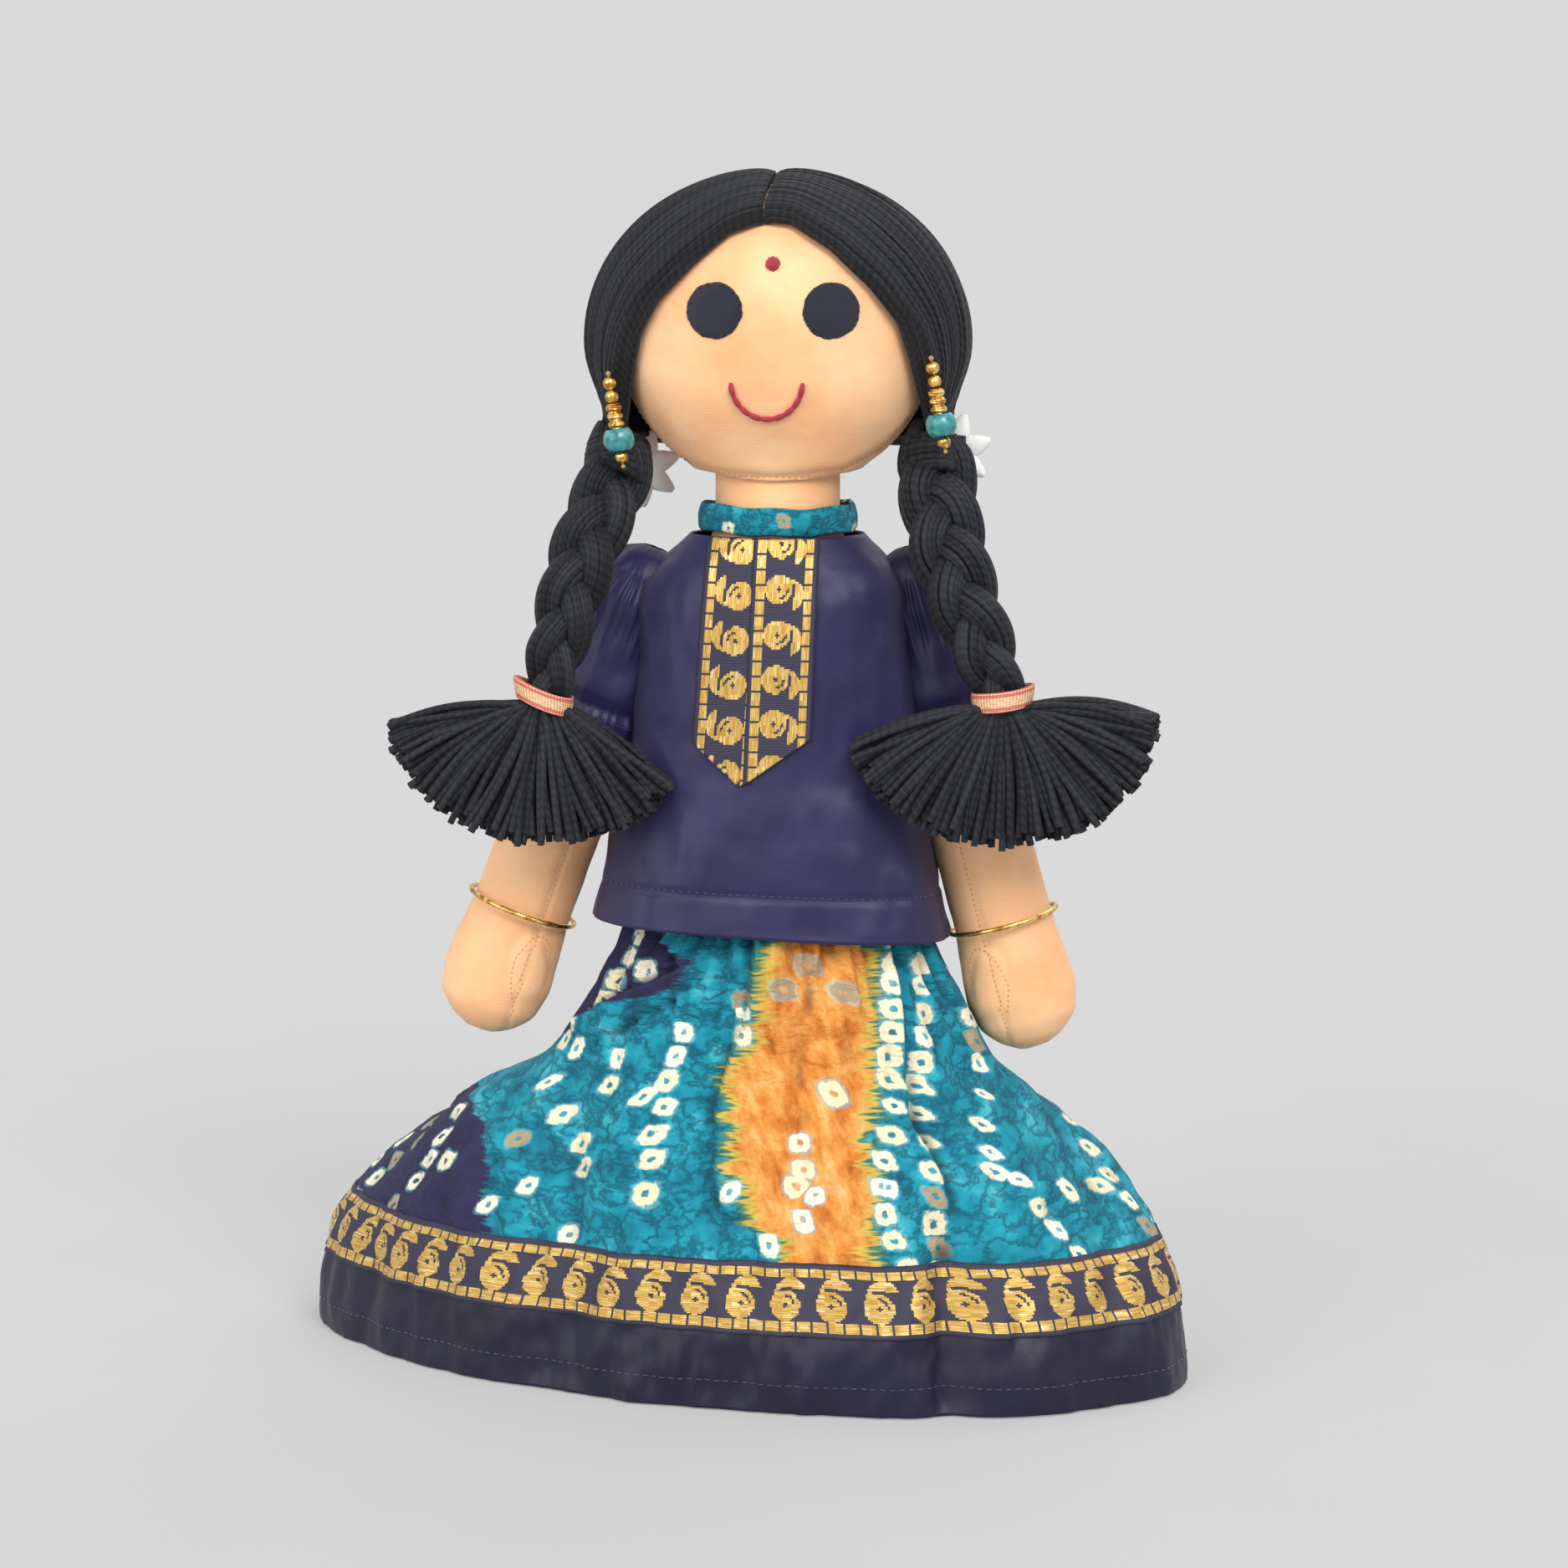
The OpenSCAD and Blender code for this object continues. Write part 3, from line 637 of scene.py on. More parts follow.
@dataclass(frozen=True)
class Yarn:
    """Twisted yarn. Each strand carries its own shade of colour, and its twist runs along it; the twist's ridges are
    lightened as a painted highlight.
    """

    name: str
    dark: tuple = dye(5, 6, 8)
    light: tuple = dye(46, 48, 54)
    twist: float = 2.6
    strong: float = 0.6

    def make(self) -> bpy.types.Material:
        """Build the material."""
        s = Shader(self.name)
        along = Wire(s, s.attribute("along").outputs["Fac"]) * 1000
        round_x, round_y, _ = s.node(
            "ShaderNodeSeparateXYZ", sockets={0: s.attribute("turn").outputs["Vector"]}
        ).outputs
        shade = Wire(s, s.attribute("shade").outputs["Fac"])
        turned = along * (math.tau / self.twist)
        ply = turned.math("SINE") * Wire(s, round_x) + turned.math("COSINE") * Wire(s, round_y)
        x, y, z = s.place()
        fuzz = s.noise(0.35, x, y, z, detail=3, rough=0.7)
        ridge = ply * 0.5 + 0.5
        # Painted highlight: the ridge term lightens the colour on the twist's ridges; fuzz and the strand's shade are
        # its own tone.
        tone = ridge * 0.3 + fuzz * 0.35 + shade * 0.5 - 0.1
        base = s.mix(tone, self.dark, self.light)
        return s.finish(
            ridge * 0.75 + fuzz * 0.4, 0.16, Base_Color=base, Roughness=self.strong, Sheen_Weight=0.05,
            Specular_IOR_Level=0.22
        )


@dataclass(frozen=True)
class Felt:
    """Pressed or thick fibre of one colour."""

    name: str
    low: tuple
    high: tuple
    grain: float = 0.5
    rough: float = 0.95
    depth: float = 0.2

    def make(self) -> bpy.types.Material:
        """Build the material."""
        s = Shader(self.name)
        x, y, z = s.place()
        fibre = s.noise(self.grain, x, y * 1.4, z, detail=4, rough=0.7)
        cloud = s.noise(self.grain * 9, x, y, z)
        base = s.mix(fibre * 1.3 + cloud * 0.4 - 0.35, self.low, self.high)
        return s.finish(fibre, self.depth, Base_Color=base, Roughness=self.rough, Sheen_Weight=0.25)


@dataclass(frozen=True)
class Metal:
    """Thin gilt metal with worn places."""

    name: str
    bright: tuple = dye(250, 214, 128)
    dull: tuple = dye(178, 124, 52)
    ribs: float = 0.0

    def make(self) -> bpy.types.Material:
        """Build the material."""
        s = Shader(self.name)
        x, y, z = s.place()
        wear = s.noise(2.2, x, y, z, detail=4, rough=0.65)
        pit = s.noise(0.3, x, y, z, detail=2)
        base = s.mix(wear.step(0.4, 0.62), self.bright, self.dull)
        relief = pit
        if self.ribs:
            relief = pit * 0.3 + (z.wave(self.ribs) * 0.5 + 0.5)
        rough = wear * 0.3 + 0.1 + pit * 0.08
        return s.finish(relief, 0.05 if not self.ribs else 0.2, Base_Color=base, Roughness=rough, Metallic=1.0)


@dataclass(frozen=True)
class Glaze:
    """Opaque teal bead with a cloudy body."""

    name: str

    def make(self) -> bpy.types.Material:
        """Build the material."""
        s = Shader(self.name)
        x, y, z = s.place()
        vein = s.noise(2.4, x, y, z, detail=5, rough=0.6)
        base = s.ramp(vein, (0.3, dye(22, 92, 98)), (0.5, dye(44, 134, 136)), (0.72, dye(92, 172, 168)))
        return s.finish(
            vein, 0.05, Base_Color=base, Roughness=vein * 0.25 + 0.16, Coat_Weight=0.4, Coat_Roughness=0.1
        )


@dataclass(frozen=True)
class Woven:
    """Stiff woven band: shiny threads with red edge lines. It reads u along and v across."""

    name: str
    width: float = 5.6

    def make(self) -> bpy.types.Material:
        """Build the material."""
        s = Shader(self.name)
        u, v = s.cloth()
        rib = u.wave(0.9) * 0.5 + 0.5
        shed = v.wave(0.5) * 0.5 + 0.5
        check = ((u / 1.8).floor() + (v / 1.0).floor()) % 2
        middle = abs(v - self.width / 2)
        base = s.mix(check, dye(232, 190, 128), dye(228, 160, 142))
        base = s.mix(rib * 0.5, base, dye(252, 228, 180))
        edge = (abs(middle - self.width * 0.33) < 0.45).most(middle > self.width * 0.46)
        base = s.mix(edge * 0.8, base, dye(196, 70, 74))
        return s.finish(
            rib * 0.6 + shed * 0.4, 0.25, Base_Color=base, Roughness=0.45, Metallic=(1 - edge) * 0.35
        )


@dataclass(frozen=True)
class Ground:
    """Pale paper floor."""

    name: str

    def make(self) -> bpy.types.Material:
        """Build the material."""
        s = Shader(self.name)
        x, y, z = s.place()
        tone = s.noise(90, x, y, z)
        base = s.mix(tone, dye(148, 148, 148), dye(152, 152, 152))
        return s.finish(
            Base_Color=base, Roughness=1.0, Specular_IOR_Level=0.0, Emission_Color=dye(217, 217, 217),
            Emission_Strength=0.39
        )


class Finishes:
    """Every finish on the doll, made once."""

    def __init__(self) -> None:
        """Build the materials."""
        self.skin = Cotton("skin cotton").make()
        self.shaded_skin = Cotton("seam cotton", dye(206, 144, 98), dye(232, 180, 132)).make()
        self.satin = Satin("navy satin").make()
        # Painted shade: a darker copy of the navy satin for the hem band, which the bright floor lights more.
        self.hem_satin = Satin("hem satin", dye(12, 10, 30), dye(30, 27, 58)).make()
        self.bandhani = Bandhani("bandhani cotton").make()
        self.collar = Bandhani("collar cotton", panels=False, pitch=11.0, ring=1.9).make()
        self.brocade = Brocade("brocade ribbon").make()
        self.yarn = Yarn("black yarn").make()
        self.thread = Yarn("grey thread", dye(52, 50, 52), dye(118, 112, 108), 1.2).make()
        self.seam = Felt("seam thread", dye(196, 136, 92), dye(232, 182, 136), 0.3, 0.8).make()
        self.navy_thread = Felt("navy thread", dye(34, 32, 58), dye(78, 74, 112), 0.3, 0.5).make()
        self.felt = Felt("navy felt", dye(10, 11, 22), dye(38, 39, 58), 0.45).make()
        self.red = Felt("red thread", dye(128, 8, 32), dye(196, 32, 66), 0.35, 0.7).make()
        self.white = Felt("white cotton", dye(226, 224, 220), dye(250, 249, 246), 0.5, 0.9).make()
        self.elastic = Felt("elastic", dye(214, 210, 204), dye(240, 238, 232), 0.5, 0.8).make()
        self.band = Woven("tie ribbon").make()
        self.gold = Metal("gold metal").make()
        self.tube = Metal("crimped gold", ribs=1.05).make()
        self.bead = Glaze("teal bead").make()
        self.cord = Felt("metallic thread", dye(120, 84, 36), dye(216, 176, 104), 0.3, 0.5).make()
        self.ground = Ground("paper").make()


# ---- Mesh tools ----


def outward(obj: bpy.types.Object) -> bpy.types.Object:
    """Turn a closed mesh's faces outwards by its volume."""
    mesh = obj.data
    mesh.calc_loop_triangles()
    points = np.array([v.co for v in mesh.vertices])
    tri = np.array([t.vertices for t in mesh.loop_triangles])
    a, b, c = points[tri[:, 0]], points[tri[:, 1]], points[tri[:, 2]]
    if np.einsum("ij,ij->", a, np.cross(b, c)) < 0:
        mesh.flip_normals()
    return obj


def show(name: str, mesh: bpy.types.Mesh) -> bpy.types.Object:
    """Put a mesh in the scene as an object."""
    obj = bpy.data.objects.new(name, mesh)
    bpy.context.scene.collection.objects.link(obj)
    return obj


def dress(obj: bpy.types.Object, body: str, finish: bpy.types.Material, slot: str, *nodes: str) -> bpy.types.Object:
    """Give a piece its finish and its place in the frame.

    Args:
        obj: The piece.
        body: The body that it rides on.
        finish: Its material.
        slot: The record's material slot; not used.
        nodes: The CAD nodes that it stands for.

    Returns:
        The piece.
    """
    obj.data.materials.clear()
    obj.data.materials.append(finish)
    if body:
        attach(obj, body)
    if nodes:
        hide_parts(*nodes)
    log.info("%s: %d faces", obj.name, len(obj.data.polygons))
    return obj


@dataclass
class Grid:
    """A surface of rows of points in millimetres, open or closed round.

    Rows run up and columns run round. A closed grid has no repeated column.
    """

    points: np.ndarray
    closed: bool = True
    cloth: np.ndarray | None = None
    slant: np.ndarray | None = None
    laid: np.ndarray | None = None
    extra: dict[str, np.ndarray] | None = None

    def normals(self) -> np.ndarray:
        """Unit normals at the points."""
        p = self.points
        if self.closed:
            along = np.roll(p, -1, 1) - np.roll(p, 1, 1)
        else:
            along = np.gradient(p, axis=1)
        up = np.gradient(p, axis=0)
        n = np.cross(along, up)
        return n / np.maximum(np.linalg.norm(n, axis=2, keepdims=True), 1e-9)

    def shell(self, name: str, wall: float) -> bpy.types.Object:
        """Make a sheet with thickness, closed at its edges.

        Args:
            name: The object's name.
            wall: Thickness that is added behind the surface.

        Returns:
            The object.
        """
        rows, columns = self.points.shape[:2]
        inner = self.points - self.normals() * wall
        verts = np.concatenate([self.points.reshape(-1, 3), inner.reshape(-1, 3)]) * MM
        index = np.arange(rows * columns).reshape(rows, columns)
        skip = rows * columns
        span = columns if self.closed else columns - 1
        j = np.arange(span)
        k = (j + 1) % columns
        faces, corners = [], []

        def add(a: np.ndarray, b: np.ndarray, c: np.ndarray, d: np.ndarray, cells: list[tuple]) -> None:
            """Add a strip of faces and the cloth places of their corners."""
            faces.append(np.stack([a, b, c, d], -1).reshape(-1, 4))
            corners.append(cells)

        i = np.arange(rows - 1)[:, None]
        jj, kk = j[None, :], k[None, :]
        wide = np.arange(span)[None, :]
        add(
            index[i, jj], index[i, kk], index[i + 1, kk], index[i + 1, jj],
            [(i, wide), (i, wide + 1), (i + 1, wide + 1), (i + 1, wide)]
        )
        add(
            index[i, kk] + skip, index[i, jj] + skip, index[i + 1, jj] + skip, index[i + 1, kk] + skip,
            [(i, wide + 1), (i, wide), (i + 1, wide), (i + 1, wide + 1)],
        )
        w = np.arange(span)
        zero, last = np.zeros(span, int), np.full(span, rows - 1)
        add(
            index[0, k], index[0, j], index[0, j] + skip, index[0, k] + skip,
            [(zero, w + 1), (zero, w), (zero, w), (zero, w + 1)]
        )
        add(
            index[-1, j], index[-1, k], index[-1, k] + skip, index[-1, j] + skip,
            [(last, w), (last, w + 1), (last, w + 1), (last, w)],
        )
        if not self.closed:
            r = np.arange(rows - 1)
            zero, last = np.zeros(rows - 1, int), np.full(rows - 1, columns - 1)
            add(
                index[r, 0], index[r + 1, 0], index[r + 1, 0] + skip, index[r, 0] + skip,
                [(r, zero), (r + 1, zero), (r + 1, zero), (r, zero)]
            )
            add(
                index[r + 1, -1], index[r, -1], index[r, -1] + skip, index[r + 1, -1] + skip,
                [(r + 1, last), (r, last), (r, last), (r + 1, last)],
            )
        mesh = bpy.data.meshes.new(name)
        mesh.from_pydata(verts.tolist(), [], np.concatenate(faces).tolist())
        for key, given in (("cloth", self.cloth), ("laid", self.laid)):
            if given is None:
                continue
            places = []
            for cells in corners:
                shape = np.broadcast_shapes(*(np.broadcast(a, b).shape for a, b in cells))
                quad = [given[np.broadcast_to(a, shape), np.broadcast_to(b, shape)] for a, b in cells]
                places.append(np.stack(quad, -2).reshape(-1, 2))
            layer = mesh.uv_layers.new(name=key)
            layer.data.foreach_set("uv", (np.concatenate(places) * MM).astype(np.float32).ravel())
        if self.slant is not None:
            held = mesh.attributes.new("slant", "FLOAT", "POINT")
            held.data.foreach_set("value", np.tile(self.slant.reshape(-1), 2).astype(np.float32))
        for key, value in (self.extra or {}).items():
            held = mesh.attributes.new(key, "FLOAT", "POINT")
            held.data.foreach_set("value", np.tile(value.reshape(-1), 2).astype(np.float32))
        mesh.shade_smooth()
        return outward(show(name, mesh))

    def body(self, name: str, low: Sequence[float], high: Sequence[float]) -> bpy.types.Object:
        """Make a closed body with a pole under the first row and one over the last.

        Args:
            name: The object's name.
            low: The lower pole.
            high: The upper pole.

        Returns:
            The object.
        """
        rows, columns = self.points.shape[:2]
        verts = np.concatenate([self.points.reshape(-1, 3), [low], [high]]) * MM
        index = np.arange(rows * columns).reshape(rows, columns)
        turned = np.roll(index, -1, 1)
        quads = np.stack([index[:-1], turned[:-1], turned[1:], index[1:]], -1).reshape(-1, 4).tolist()
        base, top = rows * columns, rows * columns + 1
        quads += [[base, b, a] for a, b in zip(index[0], turned[0])]
        quads += [[top, a, b] for a, b in zip(index[-1], turned[-1])]
        mesh = bpy.data.meshes.new(name)
        mesh.from_pydata(verts.tolist(), [], quads)
        if self.cloth is not None:
            layer = mesh.uv_layers.new(name="cloth")
            flat = np.zeros((len(mesh.loops), 2), np.float32)
            c = self.cloth
            body = np.stack([c[:-1, :-1], c[:-1, 1:], c[1:, 1:], c[1:, :-1]], -2).reshape(-1, 2)
            flat[: len(body)] = body
            low_cap = np.stack([c[0, :-1], c[0, 1:], c[0, :-1]], -2).reshape(-1, 2)
            high_cap = np.stack([c[-1, :-1], c[-1, :-1], c[-1, 1:]], -2).reshape(-1, 2)
            flat[len(body) :] = np.concatenate([low_cap, high_cap])
            layer.data.foreach_set("uv", (flat * MM).ravel())
        mesh.shade_smooth()
        return outward(show(name, mesh))


def soften(values: np.ndarray, times: int, axis: int = 1, closed: bool = True) -> np.ndarray:
    """Average neighbours, round or along an axis."""
    v = np.array(values, float)
    for _ in range(times):
        if closed:
            v = (np.roll(v, 1, axis) + 2 * v + np.roll(v, -1, axis)) / 4
        else:
            inner = [slice(None)] * v.ndim
            inner[axis] = slice(1, -1)
            back, fore = list(inner), list(inner)
            back[axis], fore[axis] = slice(None, -2), slice(2, None)
            v[tuple(inner)] = (v[tuple(back)] + 2 * v[tuple(inner)] + v[tuple(fore)]) / 4
    return v


class Former:
    """Feels how far CAD nodes reach from a line through them."""

    def __init__(self, nodes: Sequence[str], foot: Sequence[float], head: Sequence[float]) -> None:
        """Gather the nodes' faces.

        Args:
            nodes: Names of CAD nodes.
            foot: Start of the line in millimetres.
            head: End of the line.
        """
        verts: list[Vector] = []
        faces: list[tuple[int, ...]] = []
        for name in nodes:
            mesh = frame["nodes"][name].data
            base = len(verts)
            verts += [v.co / MM for v in mesh.vertices]
            faces += [tuple(base + i for i in p.vertices) for p in mesh.polygons]
        self.tree = BVHTree.FromPolygons(verts, faces)
        self.foot = Vector(foot)
        self.line = (Vector(head) - self.foot).normalized()
        side = Vector((1, 0, 0)) - self.line * self.line.x
        self.side = side.normalized()
        self.front = self.line.cross(self.side)

    def reach(self, heights: Iterable[float], columns: int) -> np.ndarray:
        """Measure radii round the line.

        Args:
            heights: Distances along the line from its foot.
            columns: Number of directions. The first is the side direction.

        Returns:
            Radii by height and direction.
        """
        out = []
        for height in heights:
            centre = self.foot + self.line * height
            row = []
            for j in range(columns):
                turn = math.tau * j / columns
                ray = self.side * math.cos(turn) + self.front * math.sin(turn)
                hit = self.tree.ray_cast(centre + ray * 400, -ray, 400)[0]
                row.append((hit - centre).length if hit else 0.0)
            out.append(row)
        return np.array(out)

    def points(self, heights: Iterable[float], radii: np.ndarray) -> np.ndarray:
        """Turn radii into points."""
        heights = np.array(list(heights), float)
        columns = radii.shape[1]
        turn = math.tau * np.arange(columns) / columns
        ray = np.outer(np.cos(turn), self.side) + np.outer(np.sin(turn), self.front)
        centre = np.array(self.foot) + np.outer(heights, self.line)
        return centre[:, None] + radii[:, :, None] * ray[None]


class Recipe:
    """A Geometry Nodes tree with named inputs, built once and used for many pieces."""

    KINDS = {float: "NodeSocketFloat", int: "NodeSocketInt", str: "NodeSocketMaterial"}

    def __init__(self, name: str, **inputs: type) -> None:
        """Make an empty tree.

        Args:
            name: The tree's name.
            inputs: Its inputs and their kinds. Material is given as str.
        """
        self.tree = bpy.data.node_groups.new(name, "GeometryNodeTree")
        face = self.tree.interface
        face.new_socket("Geometry", in_out="INPUT", socket_type="NodeSocketGeometry")
        face.new_socket("Geometry", in_out="OUTPUT", socket_type="NodeSocketGeometry")
        self.sockets = {
            key: face.new_socket(key, in_out="INPUT", socket_type=self.KINDS[kind]) for key, kind in inputs.items()
        }
        self.entry = self.tree.nodes.new("NodeGroupInput")

    def node(self, kind: str, settings: dict | None = None, sockets: dict | None = None) -> bpy.types.Node:
        """Add a node; a socket given as text is linked to the input of that name."""
        made = self.tree.nodes.new(kind)
        for key, value in (settings or {}).items():
            setattr(made, key, value)
        for key, value in (sockets or {}).items():
            socket = made.inputs[key]
            if isinstance(value, str) and value.startswith("in:"):
                value = self.entry.outputs[value[3:]]
            if isinstance(value, bpy.types.NodeSocket):
                self.tree.links.new(value, socket)
            else:
                socket.default_value = value
        return made

    def end(self, geometry: bpy.types.NodeSocket) -> None:
        """Realize, set the material and close the tree."""
        real = self.node("GeometryNodeRealizeInstances", sockets={0: geometry})
        finish = self.node("GeometryNodeSetMaterial", sockets={"Geometry": real.outputs[0], "Material": "in:Finish"})
        out = self.tree.nodes.new("NodeGroupOutput")
        self.tree.links.new(finish.outputs[0], out.inputs[0])

    def grow(self, name: str, source: bpy.types.Mesh, **values: object) -> bpy.types.Object:
        """Run the tree on a mesh and keep the result as a plain mesh.

        Args:
            name: The new object's name.
            source: The mesh that the tree starts from.
            values: The inputs' values.

        Returns:
            The new object.
        """
        carrier = show(name + "_path", source)
        held = carrier.modifiers.new("recipe", "NODES")
        held.node_group = self.tree
        for key, value in values.items():
            held[self.sockets[key].identifier] = value
        bpy.context.view_layer.update()
        graph = bpy.context.evaluated_depsgraph_get()
        mesh = bpy.data.meshes.new_from_object(
            carrier.evaluated_get(graph), preserve_all_data_layers=True, depsgraph=graph
        )
        mesh.name = name
        bpy.data.objects.remove(carrier)
        return show(name, mesh)


def paths(name: str, lines: Sequence[np.ndarray], **values: Sequence) -> bpy.types.Mesh:
    """Make a mesh of open lines.

    Args:
        name: The mesh's name.
        lines: Points of each line in millimetres.
        values: For each attribute one array per line, of numbers or of vectors.

    Returns:
        The mesh.
    """
    verts = np.concatenate(lines) * MM
    edges, base = [], 0
    for line in lines:
        edges += [(base + i, base + i + 1) for i in range(len(line) - 1)]
        base += len(line)
    mesh = bpy.data.meshes.new(name)
    mesh.from_pydata(verts.tolist(), edges, [])
    for key, rows in values.items():
        flat = np.concatenate(
            [np.broadcast_to(r, np.shape(r) if np.ndim(r) else (len(line),)) for r, line in zip(rows, lines)]
        )
        kind, word = ("FLOAT_VECTOR", "vector") if flat.ndim == 2 else ("FLOAT", "value")
        held = mesh.attributes.new(key, kind, "POINT")
        held.data.foreach_set(word, flat.astype(np.float32).ravel())
    return mesh


def yarn_recipe() -> Recipe:
    """Lay round yarn along lines. A line's points carry "thick" in metres and "shade"."""
    r = Recipe("laid yarn", Sides=int, Finish=str)
    curve = r.node("GeometryNodeMeshToCurve", sockets={"Mesh": "in:Geometry"})
    thick = r.node("GeometryNodeInputNamedAttribute", {"data_type": "FLOAT"}, {"Name": "thick"})
    sized = r.node("GeometryNodeSetCurveRadius", sockets={"Curve": curve.outputs[0], "Radius": thick.outputs[0]})
    length = r.node("GeometryNodeSplineParameter")
    marked = r.node(
        "GeometryNodeStoreNamedAttribute", {"data_type": "FLOAT", "domain": "POINT"},
        {"Geometry": sized.outputs[0], "Name": "along", "Value": length.outputs["Length"]},
    )
    ring = r.node("GeometryNodeCurvePrimitiveCircle", {"mode": "RADIUS"}, {"Resolution": "in:Sides", "Radius": 1.0})
    spot = r.node("GeometryNodeInputPosition")
    turned = r.node(
        "GeometryNodeStoreNamedAttribute", {"data_type": "FLOAT_VECTOR", "domain": "POINT"},
        {"Geometry": ring.outputs[0], "Name": "turn", "Value": spot.outputs[0]},
    )
    sockets = {"Curve": marked.outputs[0], "Profile Curve": turned.outputs[0], "Fill Caps": True}
    tube = r.node("GeometryNodeCurveToMesh", sockets=sockets)
    if "Scale" in tube.inputs:
        r.tree.links.new(thick.outputs[0], tube.inputs["Scale"])
    smooth = r.node("GeometryNodeSetShadeSmooth", sockets={0: tube.outputs[0]})
    r.end(smooth.outputs[0])
    return r


def stitch_recipe() -> Recipe:
    """Sew stitches along lines, at a pitch. A line's points carry "up", away from the cloth."""
    r = Recipe("stitches", Pitch=float, Length=float, Width=float, Height=float, Jitter=float, Seed=int, Finish=str)
    curve = r.node("GeometryNodeMeshToCurve", sockets={"Mesh": "in:Geometry"})
    even = r.node(
        "GeometryNodeResampleCurve", {"mode": "LENGTH"}, {"Curve": curve.outputs[0], "Length": "in:Pitch"}
    )
    up = r.node("GeometryNodeInputNamedAttribute", {"data_type": "FLOAT_VECTOR"}, {"Name": "up"})
    ahead = r.node("GeometryNodeInputTangent")
    stand = r.node(
        "FunctionNodeAlignRotationToVector", {"axis": "Z"}, {"Vector": up.outputs[0]}
    )
    turned = r.node(
        "FunctionNodeAlignRotationToVector", {"axis": "X", "pivot_axis": "Z"},
        {"Rotation": stand.outputs[0], "Vector": ahead.outputs[0]},
    )
    wag = r.node(
        "FunctionNodeRandomValue", {"data_type": "FLOAT"}, {"Min": -1.0, "Max": 1.0, "Seed": "in:Seed"}
    )
    swing = r.node("ShaderNodeMath", {"operation": "MULTIPLY"}, {0: wag.outputs["Value"], 1: "in:Jitter"})
    euler = r.node("ShaderNodeCombineXYZ", sockets={2: swing.outputs[0]})
    twist = r.node("FunctionNodeEulerToRotation", sockets={0: euler.outputs[0]})
    final = r.node(
        "FunctionNodeRotateRotation", {"rotation_space": "LOCAL"}, {0: turned.outputs[0], 1: twist.outputs[0]}
    )
    seed = r.node("GeometryNodeMeshUVSphere", sockets={"Segments": 8, "Rings": 5, "Radius": 0.5})
    size = r.node("ShaderNodeCombineXYZ", sockets={0: "in:Length", 1: "in:Width", 2: "in:Height"})
    sized = r.node("GeometryNodeTransform", sockets={"Geometry": seed.outputs[0], "Scale": size.outputs[0]})
    soft = r.node("GeometryNodeSetShadeSmooth", sockets={0: sized.outputs[0]})
    sown = r.node(
        "GeometryNodeInstanceOnPoints",
        sockets={"Points": even.outputs[0], "Instance": soft.outputs[0], "Rotation": final.outputs[0]},
    )
    r.end(sown.outputs[0])
    return r


class Shop:
    """What every class needs: the finishes, the recipes and the side's joints."""

    def __init__(self) -> None:
        """Build the finishes and the recipes."""
        self.finish = Finishes()
        self.yarn = yarn_recipe()
        self.stitch = stitch_recipe()
        self.joints = {joint["name"]: joint for joint in frame["joints"]}

    def pivot(self, name: str) -> Vector:
        """A joint's point in millimetres."""
        return Vector(self.joints[name]["pos_m"]) / MM

    def sew(
        self, name: str, lines: Sequence[np.ndarray], ups: Sequence[np.ndarray], finish: bpy.types.Material,
        pitch: float, length: float, width: float, height: float, jitter: float = 0.12, seed: int = 1,
    ) -> bpy.types.Object:
        """Sew stitches along lines.

        Args:
            name: The object's name.
            lines: Points of each seam in millimetres.
            ups: Directions away from the cloth at the points.
            finish: The thread.
            pitch: Distance between stitches.
            length: Length of one stitch.
            width: Its width.
            height: Its height.
            jitter: Most turn of a stitch, in radians.
            seed: Seed of the turns.

        Returns:
            The stitches.
        """
        return self.stitch.grow(
            name, paths(name, lines, up=ups), Pitch=pitch * MM, Length=length * MM, Width=width * MM,
            Height=height * MM, Jitter=jitter, Seed=seed, Finish=finish,
        )


def arc(start: Sequence[float], middle: Sequence[float], end: Sequence[float], count: int = 12) -> np.ndarray:
    """Points on a smooth bow through three points."""
    a, b, c = (np.array(p, float) for p in (start, middle, end))
    pull = 2 * b - (a + c) / 2
    t = np.linspace(0, 1, count)[:, None]
    return (1 - t) ** 2 * a + 2 * t * (1 - t) * pull + t**2 * c


def ramp(value: np.ndarray, low: float, high: float) -> np.ndarray:
    """Go smoothly from 0 at low to 1 at high."""
    t = np.clip((value - low) / (high - low), 0, 1)
    return t * t * (3 - 2 * t)


# ---- Body ----


